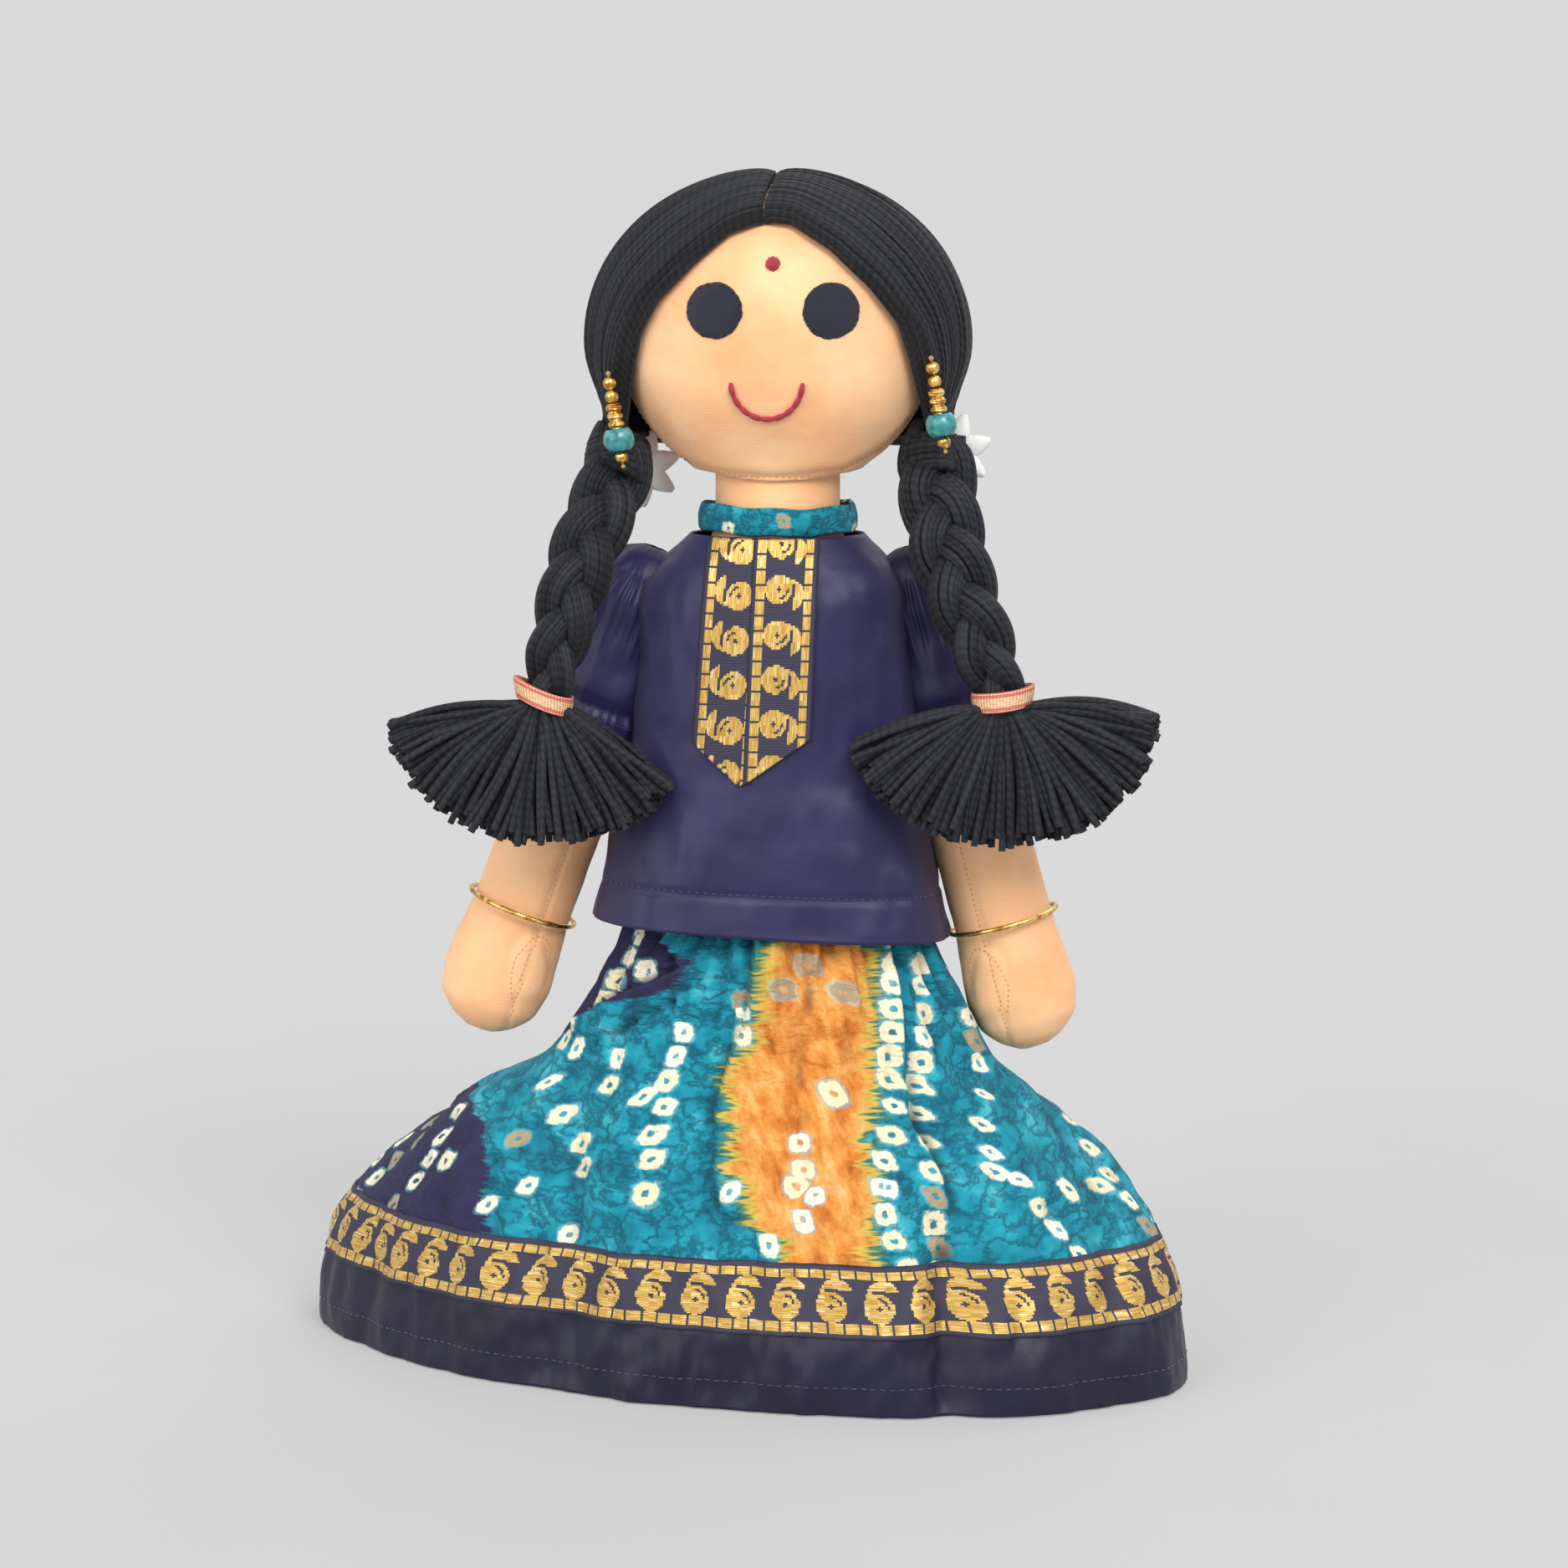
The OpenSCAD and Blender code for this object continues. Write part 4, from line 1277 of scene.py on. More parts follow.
@dataclass
class Trunk:
    """Neck, body and legs of stuffed cotton."""

    levels: int = 30
    columns: int = 48
    leg_levels: int = 44
    sole: float = 3.0

    def build(self, shop: Shop) -> None:
        """Build and dress the pieces."""
        low, high = (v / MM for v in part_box("torso_cover"))
        heights = np.linspace(0.6, high.z - low.z - 0.6, self.levels)
        former = Former(["torso_cover"], (0, 0, low.z), (0, 0, high.z))
        radii = soften(former.reach(heights, self.columns), 1)
        points = former.points(heights, radii)
        torso = Grid(points).body("torso", (0, 0, low.z + 0.2), (0, 0, high.z - 0.2))
        dress(torso, "torso", shop.finish.skin, "skin_cotton", "torso_cover", "torso_stuffing")
        for side in Side:
            self.leg(shop, side)

    def leg(self, shop: Shop, side: Side) -> None:
        """Build one leg with its foot."""
        node = f"leg_{side.word}_cover"
        low, high = (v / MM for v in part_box(node))
        x = (low.x + high.x) / 2
        former = Former([node], (x, 0, low.z), (x, 0, high.z))
        t = np.linspace(0, 1, self.leg_levels)
        heights = (high.z - low.z) * (0.5 - 0.5 * np.cos(np.pi * (0.02 + 0.96 * t)))
        radii = soften(former.reach(heights, self.columns), 2)
        points = former.points(heights, radii)
        leg = Grid(points).body(f"leg_{side.word}", (x, 0, low.z), (x, 0, high.z - 0.1))
        dress(leg, f"leg_{side.word}", shop.finish.skin, "skin_cotton", node, f"leg_{side.word}_stuffing")
        inner = 0 if side is Side.RIGHT else self.columns // 2
        line = points[3:-6, inner] - np.array([0.15 * side.value, 0, 0])
        ups = [np.tile([-side.value, 0, 0], (len(line), 1))]
        seam = shop.sew(f"leg_{side.word}_seam", [line], ups, shop.finish.seam, 1.8, 1.1, 0.4, 0.35)
        dress(seam, f"leg_{side.word}", shop.finish.seam, "skin_cotton")


@dataclass
class Arm:
    """One stuffed arm with a stitched thumb and front seam, and its bangle."""

    side: Side
    levels: int = 110
    columns: int = 72
    thumb_at: float = 112.0
    thumb_out: float = 6.5
    thumb_r: float = 5.6
    groove: float = 0.55

    def build(self, shop: Shop) -> None:
        """Build and dress the pieces."""
        word, sign = self.side.word, self.side.value
        body = f"arm_{word}"
        node = f"arm_{word}_cover"
        pivot = shop.pivot(f"arm_{word}_raise")
        low, high = (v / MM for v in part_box(node))
        tip_x = (high.x if sign > 0 else low.x) - sign * 13.4
        tilt = math.atan2(abs(tip_x) - abs(pivot.x), pivot.z - low.z)
        down = Vector((sign * math.sin(tilt), 0, -math.cos(tilt)))
        former = Former([node], pivot - down * 16, pivot + down * 200)
        reach = self.length(former)
        t = np.linspace(0, 1, self.levels)
        tip = 0.5 - 0.5 * np.cos(np.pi * t)
        heights = 2.6 + (reach - 2.9) * (0.75 * t + 0.25 * tip)
        radii = soften(former.reach(heights, self.columns), 3)
        radii = soften(radii, 2, 0, False)
        points = former.points(heights, radii)
        grid = Grid(points)
        normal = grid.normals()
        if np.einsum("ij,ij->", normal[len(t) // 2], points[len(t) // 2] - points[len(t) // 2].mean(0)) < 0:
            normal = -normal
        inward = -sign
        thumb = former.foot + former.line * (self.thumb_at + 16) + Vector((inward * self.thumb_out, -13, 0))
        far = np.linalg.norm((points - np.array(thumb)) * [1, 0.35, 0.55], axis=2)
        front = points[:, :, 1] < 2
        swell = np.exp(-((far / self.thumb_r) ** 4)) * 1.15
        rim = -np.exp(-(((far - self.thumb_r * 1.02) / 1.1) ** 2)) * self.groove * 1.5
        below = np.array(thumb)[2] - points[:, :, 2]
        keep = 1 - ramp(below, 3, 8) * 0.9
        across = points[:, :, 0] * sign
        middle = (np.array(former.foot)[0] + np.outer(heights, former.line)[:, 0])[:, None] * sign
        rim = rim * keep
        seam_x = np.broadcast_to(middle - 4.5, across.shape)
        seam = -np.exp(-(((across - seam_x) / 0.7) ** 2)) * self.groove * ramp(heights[:, None], 78, 84)
        wrinkle = np.array(
            [[noise.noise(Vector(p) / 9) + 0.5 * noise.noise(Vector(p) / 4) for p in row] for row in points]
        )
        push = (swell + rim + seam) * front + wrinkle * 0.22 * ramp(heights[:, None], 20, 60)
        bump = np.minimum(push, 0.9)
        points = points + normal * bump[:, :, None]
        top = Vector(pivot) - down * 15.8
        tip_point = former.foot + former.line * (reach - 0.1)
        arm = Grid(points).body(body, tuple(top), tuple(tip_point))
        dress(arm, body, shop.finish.skin, "skin_cotton", node, f"arm_{word}_stuffing")
        self.seams(shop, points, normal, heights, np.array(thumb), seam_x * sign)
        self.ring(shop)

    def length(self, former: Former) -> float:
        """Feel where the hand ends along the arm's line."""
        start = former.foot + former.line * 300
        hit = former.tree.ray_cast(start, -former.line, 400)[0]
        return (hit - former.foot).length

    def seams(
        self, shop: Shop, points: np.ndarray, normal: np.ndarray, heights: np.ndarray, thumb: np.ndarray,
        seam_x: np.ndarray
    ) -> None:
        """Sew the front seam and the thumb."""
        word = self.side.word
        line, ups = [], []
        for i in np.flatnonzero((heights > 84) & (heights < heights[-1] - 3)):
            row = points[i]
            near = np.where(row[:, 1] < row[:, 1].mean(), np.abs(row[:, 0] - seam_x[i]), 99).argmin()
            line.append(row[near] + normal[i, near] * 0.12)
            ups.append(normal[i, near])
        arc_points, arc_ups = [], []
        flat = points.reshape(-1, 3)
        outs = normal.reshape(-1, 3)
        inward = -self.side.value
        for step in np.linspace(0, 1, 26):
            turn = math.pi * (0.95 - 1.25 * step)
            spot = thumb + np.array(
                [-inward * math.cos(turn + 0.5) * self.thumb_r, 0, math.sin(turn) * self.thumb_r * 1.75]
            )
            gap = ((flat - spot) * [1, 0, 1]) ** 2
            gap = gap.sum(1) + (flat[:, 1] > 4) * 999
            k = gap.argmin()
            arc_points.append(flat[k] + outs[k] * 0.12)
            arc_ups.append(outs[k])
        path = soften(np.array(arc_points), 2, 0, False)
        name = f"arm_{word}_seam"
        lines, tops = [np.array(line), path], [np.array(ups), np.array(arc_ups)]
        seam = shop.sew(name, lines, tops, shop.finish.seam, 1.5, 0.95, 0.42, 0.4, 0.2, 5)
        dress(seam, f"arm_{word}", shop.finish.seam, "skin_cotton")

    def ring(self, shop: Shop) -> None:
        """Give the bangle its metal."""
        node = frame["nodes"][f"bangle_{self.side.word}"]
        node.data.materials.clear()
        node.data.materials.append(shop.finish.gold)


# ---- Head ----


@dataclass
class Head:
    """The stuffed head with its felt eyes, knot and stitched mouth."""

    centre: float = 288.0
    half: tuple[float, float, float] = (44.5, 34.0, 42.0)
    neck_r: float = 18.2
    neck_top: float = 262.4
    eye_r: float = 7.75
    mouth_r: float = 9.6
    mouth_z: float = 277.0
    jaw: tuple[tuple[float, float], ...] = (
        (-43.2, 271), (-41.8, 266.4), (-36, 260.5), (-29.9, 255.5), (-18.3, 251.4), (0, 249.9), (18.4, 251.8),
        (30, 257.8),
        (39.5, 268.7), (42.5, 274),
    )

    def depth(self, x: np.ndarray, z: np.ndarray, lift: float = 0.0) -> np.ndarray:
        """The y of the face's front at x and z."""
        a, b, c = self.half
        inside = 1 - (x / a) ** 2 - ((z - self.centre) / c) ** 2
        return -b * np.sqrt(np.maximum(inside, 1e-4)) - lift

    def out(self, x: float, z: float) -> np.ndarray:
        """The direction away from the face at x and z."""
        a, b, c = self.half
        y = float(self.depth(np.array(x), np.array(z)))
        n = np.array([x / a**2, y / b**2, (z - self.centre) / c**2])
        return n / np.linalg.norm(n)

    def build(self, shop: Shop) -> None:
        """Build and dress the pieces."""
        self.skull(shop)
        self.jaw_seam(shop)
        for side in Side:
            self.eye(shop, side)
        self.knot(shop)
        self.mouth(shop)

    def skull(self, shop: Shop) -> None:
        """Build the head's cover and filling as one padded body."""
        a, b, c = self.half
        columns = 160
        stop = math.acos(math.sqrt(1 - (self.neck_r / b) ** 2))
        angle = np.linspace(0.02, math.pi - stop, 110)
        turn = math.tau * np.arange(columns) / columns
        rows = []
        for t in angle:
            s = math.sin(t)
            rows.append(
                np.stack(
                    [a * s * np.cos(turn), b * s * np.sin(turn), np.full(columns, self.centre + c * math.cos(t))], 1
                )
            )
        rim = rows[-1]
        away = np.hypot(rim[:, 0], rim[:, 1])
        for share in (0.25, 0.6, 1.0):
            ring = rim.copy()
            radius = away + (self.neck_r - away) * share
            ring[:, 0] *= radius / away
            ring[:, 1] *= radius / away
            ring[:, 2] = rim[:, 2] * (1 - share) + (rim[:, 2].max() + 2.0) * share
            rows.append(ring)
        top = rows[-1].copy()
        top[:, 2] = self.neck_top
        rows.append(top)
        points = np.array(rows)[::-1].copy()
        under = (points[:, :, 2] < 262.5) & (np.arange(len(points)) > 3)[:, None]
        middle = np.clip(1 - (points[:, :, 0] / 26) ** 2, 0, 1)
        points[:, :, 2] -= 4.2 * ramp(262 - points[:, :, 2], 0, 13) * under * middle
        points[1:4, :, 2] -= 4.0 * middle[1:4]
        normal = Grid(points).normals()
        jaw_x = np.array([p[0] for p in self.jaw])
        jaw_z = np.array([p[1] for p in self.jaw])
        line = np.interp(points[:, :, 0], jaw_x, jaw_z)
        gap = points[:, :, 2] - line
        front = ramp(-points[:, :, 1], 0, 4) * (points[:, :, 2] < 275)
        dent = -np.exp(-((gap / 0.9) ** 2)) * 0.7 * front
        fold = np.exp(-(((gap - 2.2) / 1.8) ** 2)) * 0.25 * front
        points = points.copy()
        wave = np.array(
            [[noise.noise(Vector(p) / 13) * 0.45 + noise.noise(Vector(p) / 5) * 0.12 for p in row] for row in points]
        )
        calm = ramp(points[:, :, 2], 249, 256)
        points = points + normal * (dent + fold + wave * calm)[:, :, None]
        self.points = points
        skull = Grid(points).body("head", (0, 0, self.neck_top + 0.2), (0, 0, self.centre + c))
        dress(skull, "head", shop.finish.skin, "skin_cotton", "head_front", "head_back", "head_stuffing")

    def jaw_seam(self, shop: Shop) -> None:
        """Sew the seam under the jaw."""
        x = np.linspace(-41.5, 41.5, 90)
        z = soften(np.interp(x, [p[0] for p in self.jaw], [p[1] for p in self.jaw]), 6, 0, False)
        flat = self.points[4:].reshape(-1, 3)
        outs = Grid(self.points[4:]).normals().reshape(-1, 3)
        line, ups = [], []
        for a, b in zip(x, z):
            k = (((flat - [a, 0, b]) * [1, 0, 1]) ** 2).sum(1) + (flat[:, 1] > 0) * 999
            k = k.argmin()
            out = outs[k] * (1 if outs[k] @ (flat[k] - [0, 0, self.centre]) > 0 else -1)
            line.append(flat[k] + out * 0.15)
            ups.append(out)
        line, ups = soften(np.array(line), 4, 0, False), np.array(ups)
        seam = shop.sew("jaw_seam", [line], [ups], shop.finish.seam, 1.75, 1.1, 0.5, 0.4, 0.15, 3)
        dress(seam, "head", shop.finish.seam, "skin_cotton")

    def eye(self, shop: Shop, side: Side) -> None:
        """Cut one round eye of felt and sew round its edge."""
        node = f"eye_{side.word}"
        low, high = (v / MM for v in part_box(node))
        cx, cz = (low.x + high.x) / 2, (low.z + high.z) / 2
        columns, rings = 96, 14
        turn = math.tau * np.arange(columns) / columns
        edge = np.array(
            [1 + 0.05 * noise.noise(Vector((math.cos(t) * 3, math.sin(t) * 3, cx)))
            + 0.03 * noise.noise(Vector((math.cos(t) * 11, math.sin(t) * 11, cx))) for t in turn]
        )
        rows = []
        for k in range(rings):
            share = (k + 1) / rings
            radius = self.eye_r * share * edge
            x, z = cx + radius * np.cos(turn), cz + radius * np.sin(turn)
            lift = 0.95 * (1 - share**6) + 0.25
            rows.append(np.stack([x, self.depth(x, z, 0) - lift, z], 1))
        skirt = rows[-1].copy()
        skirt[:, 1] += 0.75
        rows.append(skirt)
        points = np.array(rows)
        y = float(self.depth(np.array(cx), np.array(cz)))
        eye = Grid(points).body(node + "_felt", (cx, y - 1.2, cz), (cx, y + 0.6, cz))
        dress(eye, "head", shop.finish.felt, "navy_felt", node)
        ring_x, ring_z = cx + (self.eye_r - 0.7) * np.cos(turn), cz + (self.eye_r - 0.7) * np.sin(turn)
        spokes, ups = [], []
        for k in range(0, columns, 4):
            out = np.array([math.cos(turn[k]), 0, math.sin(turn[k])])
            a = np.array([ring_x[k], 0, ring_z[k]])
            b = a + out * 0.5
            for p, rise in ((a, 1.0), (b, 0.75)):
                p[1] = float(self.depth(p[0], p[2])) - rise
            spokes.append(np.array([a, (a + b) / 2 - [0, 0.2, 0], b]))
            ups.append(np.full(3, 0.3))
        sewn = shop.yarn.grow(
            node + "_thread", paths("spokes", spokes, thick=[np.full(3, 0.22 * MM)] * len(spokes), shade=ups), Sides=5,
            Finish=shop.finish.felt,
        )
        dress(sewn, "head", shop.finish.felt, "navy_felt")

    def knot(self, shop: Shop) -> None:
        """Wind the small red knot on the forehead."""
        low, high = (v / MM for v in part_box("bindi"))
        cx, cz = (low.x + high.x) / 2, (low.z + high.z) / 2
        lines, shade = [], []
        for k in range(6):
            turn = 0.5 + k * 0.55
            dx, dz = math.cos(turn) * 1.7, math.sin(turn) * 1.9
            y = float(self.depth(np.array(cx), np.array(cz)))
            a, b = (cx - dx, y + 0.3, cz - dz), (cx + dx, y + 0.3, cz + dz)
            lines.append(arc(a, (cx + 0.3 * math.sin(k), y - 1.2 - 0.12 * k, cz + 0.3 * math.cos(k * 2)), b, 9))
            shade.append(np.full(9, 0.5))
        knot = shop.yarn.grow(
            "bindi_knot", paths("knot", lines, thick=[np.full(9, 0.55 * MM)] * 6, shade=shade), Sides=8,
            Finish=shop.finish.red
        )
        dress(knot, "head", shop.finish.red, "red_thread", "bindi")

    def mouth(self, shop: Shop) -> None:
        """Sew the mouth as a row of thick stitches."""
        turns = np.radians(np.linspace(184, 356, 10))
        lines, thick, shade = [], [], []
        for k in range(9):
            t0, t1 = turns[k] - 0.035, turns[k + 1] + 0.035
            pts = []
            for share in np.linspace(0, 1, 9):
                t = t0 + (t1 - t0) * share
                x = -1.6 + (self.mouth_r + 0.25) * math.cos(t)
                z = self.mouth_z + (self.mouth_r + 0.6) * math.sin(t)
                lift = 0.1 + 0.85 * math.sin(math.pi * share) ** 0.6
                pts.append([x, float(self.depth(x, z)) - lift, z])
            lines.append(np.array(pts))
            thick.append((0.42 + 0.42 * np.sin(np.linspace(0.25, math.pi - 0.25, 9))) * MM)
            shade.append(np.full(9, 0.5))
        mouth = shop.yarn.grow(
            "mouth_stitches", paths("smile", lines, thick=thick, shade=shade), Sides=10, Finish=shop.finish.red
        )
        dress(mouth, "head", shop.finish.red, "red_thread", "mouth")


# ---- Skirt ----


@dataclass
class Skirt:
    """The gathered bandhani skirt with its ribbon and its navy hem band."""

    columns: int = 520
    rows: int = 96
    low: float = 31.1
    high: float = 140.6
    wall: float = 0.8
    ribbon_low: float = 21.6
    ribbon_high: float = 40.4

    def __post_init__(self) -> None:
        """Feel the CAD cloth at many heights, lay the folds on it and mark their creases for painted shade."""
        former = Former(["skirt_cloth", "skirt_hem_band"], (0, 0, 0), (0, 0, 200))
        self.z = np.concatenate([np.linspace(0.4, 30.6, 22), np.linspace(31.6, self.high, self.rows)])
        self.base = soften(former.reach(self.z, self.columns), 6)
        self.base = soften(self.base, 2, 0, False)
        self.former = former
        points = former.points(self.z, self.base)
        self.u = self.arc_length(points)
        push = self.fold(points)
        self.folded = self.base + push
        # Painted shade: crease marks where the folds sink below their blurred surroundings; the bandhani darkens its
        # colour there.
        blur = soften(soften(push, 24), 6, 0, False)
        self.crease = np.clip((blur - push - 0.25) / 1.6, 0, 1)
        log.info("folds from %.1f to %.1f mm", push.min(), push.max())

    def arc_length(self, points: np.ndarray) -> np.ndarray:
        """Length round each row from the front line, with one more column than the points."""
        step = np.linalg.norm(np.roll(points, -1, 1) - points, axis=2)
        run = np.concatenate([np.zeros((len(points), 1)), np.cumsum(step, 1)], 1)
        front = 3 * self.columns // 4
        return run - run[:, front : front + 1]

    def around(self) -> np.ndarray:
        """Signed length from the front line to the nearer side."""
        whole = self.u[:, -1:] - self.u[:, :1]
        place = self.u[:, :-1]
        return np.where(place < -whole / 2, place + whole, place)

    @staticmethod
    def line(z: np.ndarray, *points: tuple[float, float]) -> np.ndarray:
        """Place of a fold at each height."""
        return np.interp(z, [p[0] for p in points], [p[1] for p in points])

    @staticmethod
    def ledge(gap: np.ndarray, height: float, slow: float, quick: float) -> np.ndarray:
        """A rolled edge: it rises slowly before the line and drops quickly behind it."""
        before = np.exp(-np.maximum(-gap, 0) / slow) * (gap <= 0)
        after = np.exp(-((np.maximum(gap, 0) / quick) ** 2)) * (gap > 0)
        return height * (before + after) - 0.35 * height * np.exp(-(((gap - 1.7 * quick) / quick) ** 2))

    def fold(self, points: np.ndarray) -> np.ndarray:
        """Height of the folds over the CAD cloth."""
        z = self.z[:, None]
        u = self.around()
        zz = self.z
        out = np.zeros_like(u)

        def at(*line: tuple[float, float]) -> np.ndarray:
            """Signed distance from a fold's line."""
            return u - self.line(zz, *line)[:, None]

        def fade(low: float, high: float, soft: float = 8) -> np.ndarray:
            """Where a fold shows."""
            return ramp(z, low - soft, low) * (1 - ramp(z, high, high + soft))

        out += self.ledge(
            -at((42, -9), (60, -13), (79, -14), (97, -7), (105, -5), (125, -3)), 3.4, 12, 2.2
        ) * fade(56, 130)
        out += self.ledge(at((50, 50), (63, 45), (75, 37.4), (95, 34.3), (125, 31)), 2.6, 13, 2.0) * fade(58, 130)
        out += self.ledge(
            -at((66, -120), (73, -113), (84, -85), (95, -63), (101, -51), (114, -21.5), (119, -28), (125, -40)), 4.4,
            14, 2.6
        ) * fade(70, 118, 6)
        out += self.ledge(at((92, -54), (98, -43), (103, -33), (111, -23), (116, -20)), 2.3, 8, 1.8) * fade(95, 113, 5)
        out -= 2.6 * np.exp(-((at((82, 8), (97, 8), (121, 15)) / 2.6) ** 2)) * fade(84, 125)
        out += 1.8 * np.exp(-((at((82, 17), (97, 17), (121, 23)) / 5) ** 2)) * fade(84, 125)
        kink = at((0, 52), (60, 50), (90, 46))
        out -= 5.0 * np.exp(-((kink / 6) ** 2)) * (1 - ramp(z, 34, 66))
        out += 1.6 * np.exp(-(((kink - 18) / 10) ** 2)) * (1 - ramp(z, 40, 80))
        out += 1.4 * np.exp(-(((kink + 20) / 12) ** 2)) * (1 - ramp(z, 40, 80))
        low_wave = sum(
            a * np.exp(-(((u - c) / w) ** 2)) for a, c, w in
            ((-2.0, -62, 11), (1.6, -38, 14), (1.4, -92, 14), (-1.8, 96, 10), (1.4, 122, 12), (-2.2, 158, 12), (2.0, 188, 14),
             (-2.4, 226, 13), (1.8, 262, 14), (-2.0, -140, 11), (1.8, -172, 14), (-2.2, -214, 12), (1.8, -250, 14),
             (-2.0, -286, 12))
        )
        out += low_wave * (1 - ramp(z, 62, 104))
        ring = u / (self.u[:, -1:] - self.u[:, :1]) * math.tau
        gather = 0.5 * np.sin(ring * 23 + 1.0) + 0.35 * np.sin(
            ring * 37 + np.sin(ring * 5) * 2
        ) + 0.3 * np.sin(ring * 61 + 2)
        out += 1.9 * gather * ramp(z, 72, 128)
        broad = 0.5 * np.sin(ring * 9 + 0.6) + 0.5 * np.sin(ring * 13 + 2.2)
        out += 1.3 * broad * ramp(z, 40, 70) * (1 - ramp(z, 104, 128))
        wrinkle = np.array([[noise.noise(Vector((p[0] / 8, p[1] / 8, p[2] / 22))) for p in row] for row in points])
        fine = np.array([[noise.noise(Vector((p[0] / 3, p[1] / 3, p[2] / 7))) for p in row] for row in points])
        out += wrinkle * 1.9 + fine * 0.6
        out *= ramp(z, -4, 6) * 0.6 + 0.4
        near_hands = ramp(np.abs(points[:, :, 0]), 52, 60) * ramp(points[:, :, 2], 76, 86)
        return np.where(out > 0, out * (1 - near_hands * 0.9), out)

    def sheet(self, low: float, high: float, rows: int, lift: float) -> Grid:
        """Cut a level band of the folded surface.

        Args:
            low: Its lower edge.
            high: Its upper edge.
            rows: Number of rows.
            lift: How far it stands off.

        Returns:
            The grid, with its place on the flat cloth.
        """
        z = np.linspace(low, high, rows)
        radii = np.array([np.interp(z, self.z, self.folded[:, j]) for j in range(self.columns)]).T + lift
        points = self.former.points(z, radii)
        rise = np.linalg.norm(np.diff(points, axis=0, append=points[-1:]), axis=2)
        rise[-1] = rise[-2]
        slant = rise / np.gradient(z)[:, None]
        u = np.array([np.interp(z, self.z, self.u[:, j]) for j in range(self.columns + 1)]).T
        cloth = np.stack([u, np.broadcast_to(z[:, None], u.shape)], -1)
        # The crease mask that carries the painted shade in the folds.
        crease = np.array([np.interp(z, self.z, self.crease[:, j]) for j in range(self.columns)]).T
        return Grid(points, True, cloth, slant, None, {"crease": crease})

    def build(self, shop: Shop) -> None:
        """Build and dress the pieces."""
        cloth_grid = self.sheet(self.low, self.high, 150, -0.1)
        self.wrap(cloth_grid)
        cloth = cloth_grid.shell("skirt", self.wall)
        dress(cloth, "torso", shop.finish.bandhani, "bandhani_cotton", "skirt_cloth")
        band_grid = self.sheet(0.5, 30.9, 40, 0.0)
        band = band_grid.shell("hem_band", 1.2)
        # The hem band wears the darker copy of the satin as painted shade.
        dress(band, "torso", shop.finish.hem_satin, "navy_satin", "skirt_hem_band")
        ribbon = self.ribbon(shop)
        thread = self.hem_thread(shop, band_grid)
        waist = self.waistband(shop)

    def wrap(self, grid: Grid) -> None:
        """Number the cloth both ways from the front, so that its seam is at the back."""
        back = self.columns // 4
        order = (np.arange(self.columns) + back) % self.columns
        grid.points = grid.points[:, order]
        grid.slant = grid.slant[:, order]
        grid.extra = {key: value[:, order] for key, value in grid.extra.items()}
        u = grid.cloth[:, :, 0]
        whole = u[:, -1:] - u[:, :1]
        placed = u[:, order]
        placed = np.where(np.arange(self.columns)[None] >= self.columns - back, placed + whole, placed)
        placed = np.concatenate([placed, placed[:, :1] + whole], 1)
        grid.cloth = np.stack([placed, np.broadcast_to(grid.cloth[:, :1, 1], placed.shape)], -1)
        row = np.abs(grid.cloth[:, 0, 1] - 60).argmin()
        girth = (placed[:, -1:] - placed[:, :1]) / (placed[row, -1] - placed[row, 0])
        laid = np.broadcast_to(placed[row : row + 1], placed.shape)
        grid.laid = np.stack([laid, np.broadcast_to(girth, placed.shape)], -1)
        grid.extra["lean"] = np.gradient(placed[:, :-1], axis=0) / np.gradient(grid.cloth[:, 0, 1])[:, None]

    def ribbon(self, shop: Shop) -> bpy.types.Object:
        """Lay the ribbon over the join, with its own straight edges."""
        grid = self.sheet(self.ribbon_low, self.ribbon_high, 26, 0.55)
        run = np.cumsum(np.linalg.norm(np.diff(grid.points, axis=0, prepend=grid.points[:1]), axis=2), 0)
        width = run[-1].mean()
        v = run / run[-1:] * 18.3
        v = np.concatenate([v, v[:, :1]], 1)
        u = np.broadcast_to(grid.cloth[12:13, :, 0], v.shape)
        whole = u[0, -1] - u[0, 0]
        pitch = whole / round(whole / 12.4)
        grid.cloth = np.stack([u * 12.4 / pitch, v], -1)
        log.info("ribbon %.1f mm wide, %.0f mm round", width, whole)
        ribbon = grid.shell("skirt_ribbon_band", 0.5)
        dress(ribbon, "torso", shop.finish.brocade, "brocade_ribbon", "skirt_ribbon")
        return ribbon

    def hem_thread(self, shop: Shop, grid: Grid) -> bpy.types.Object:
        """Sew the hem."""
        normal = grid.normals()
        row = 10
        out = normal[row] if np.einsum("ij,ij->", normal[row], grid.points[row]) > 0 else -normal[row]
        line = np.concatenate([grid.points[row] + out * 0.12, (grid.points[row] + out * 0.12)[:1]])
        ups = np.concatenate([out, out[:1]])
        thread = shop.sew("hem_thread", [line], [ups], shop.finish.navy_thread, 2.6, 1.9, 0.32, 0.28, 0.06, 9)
        return dress(thread, "torso", shop.finish.navy_thread, "navy_satin")

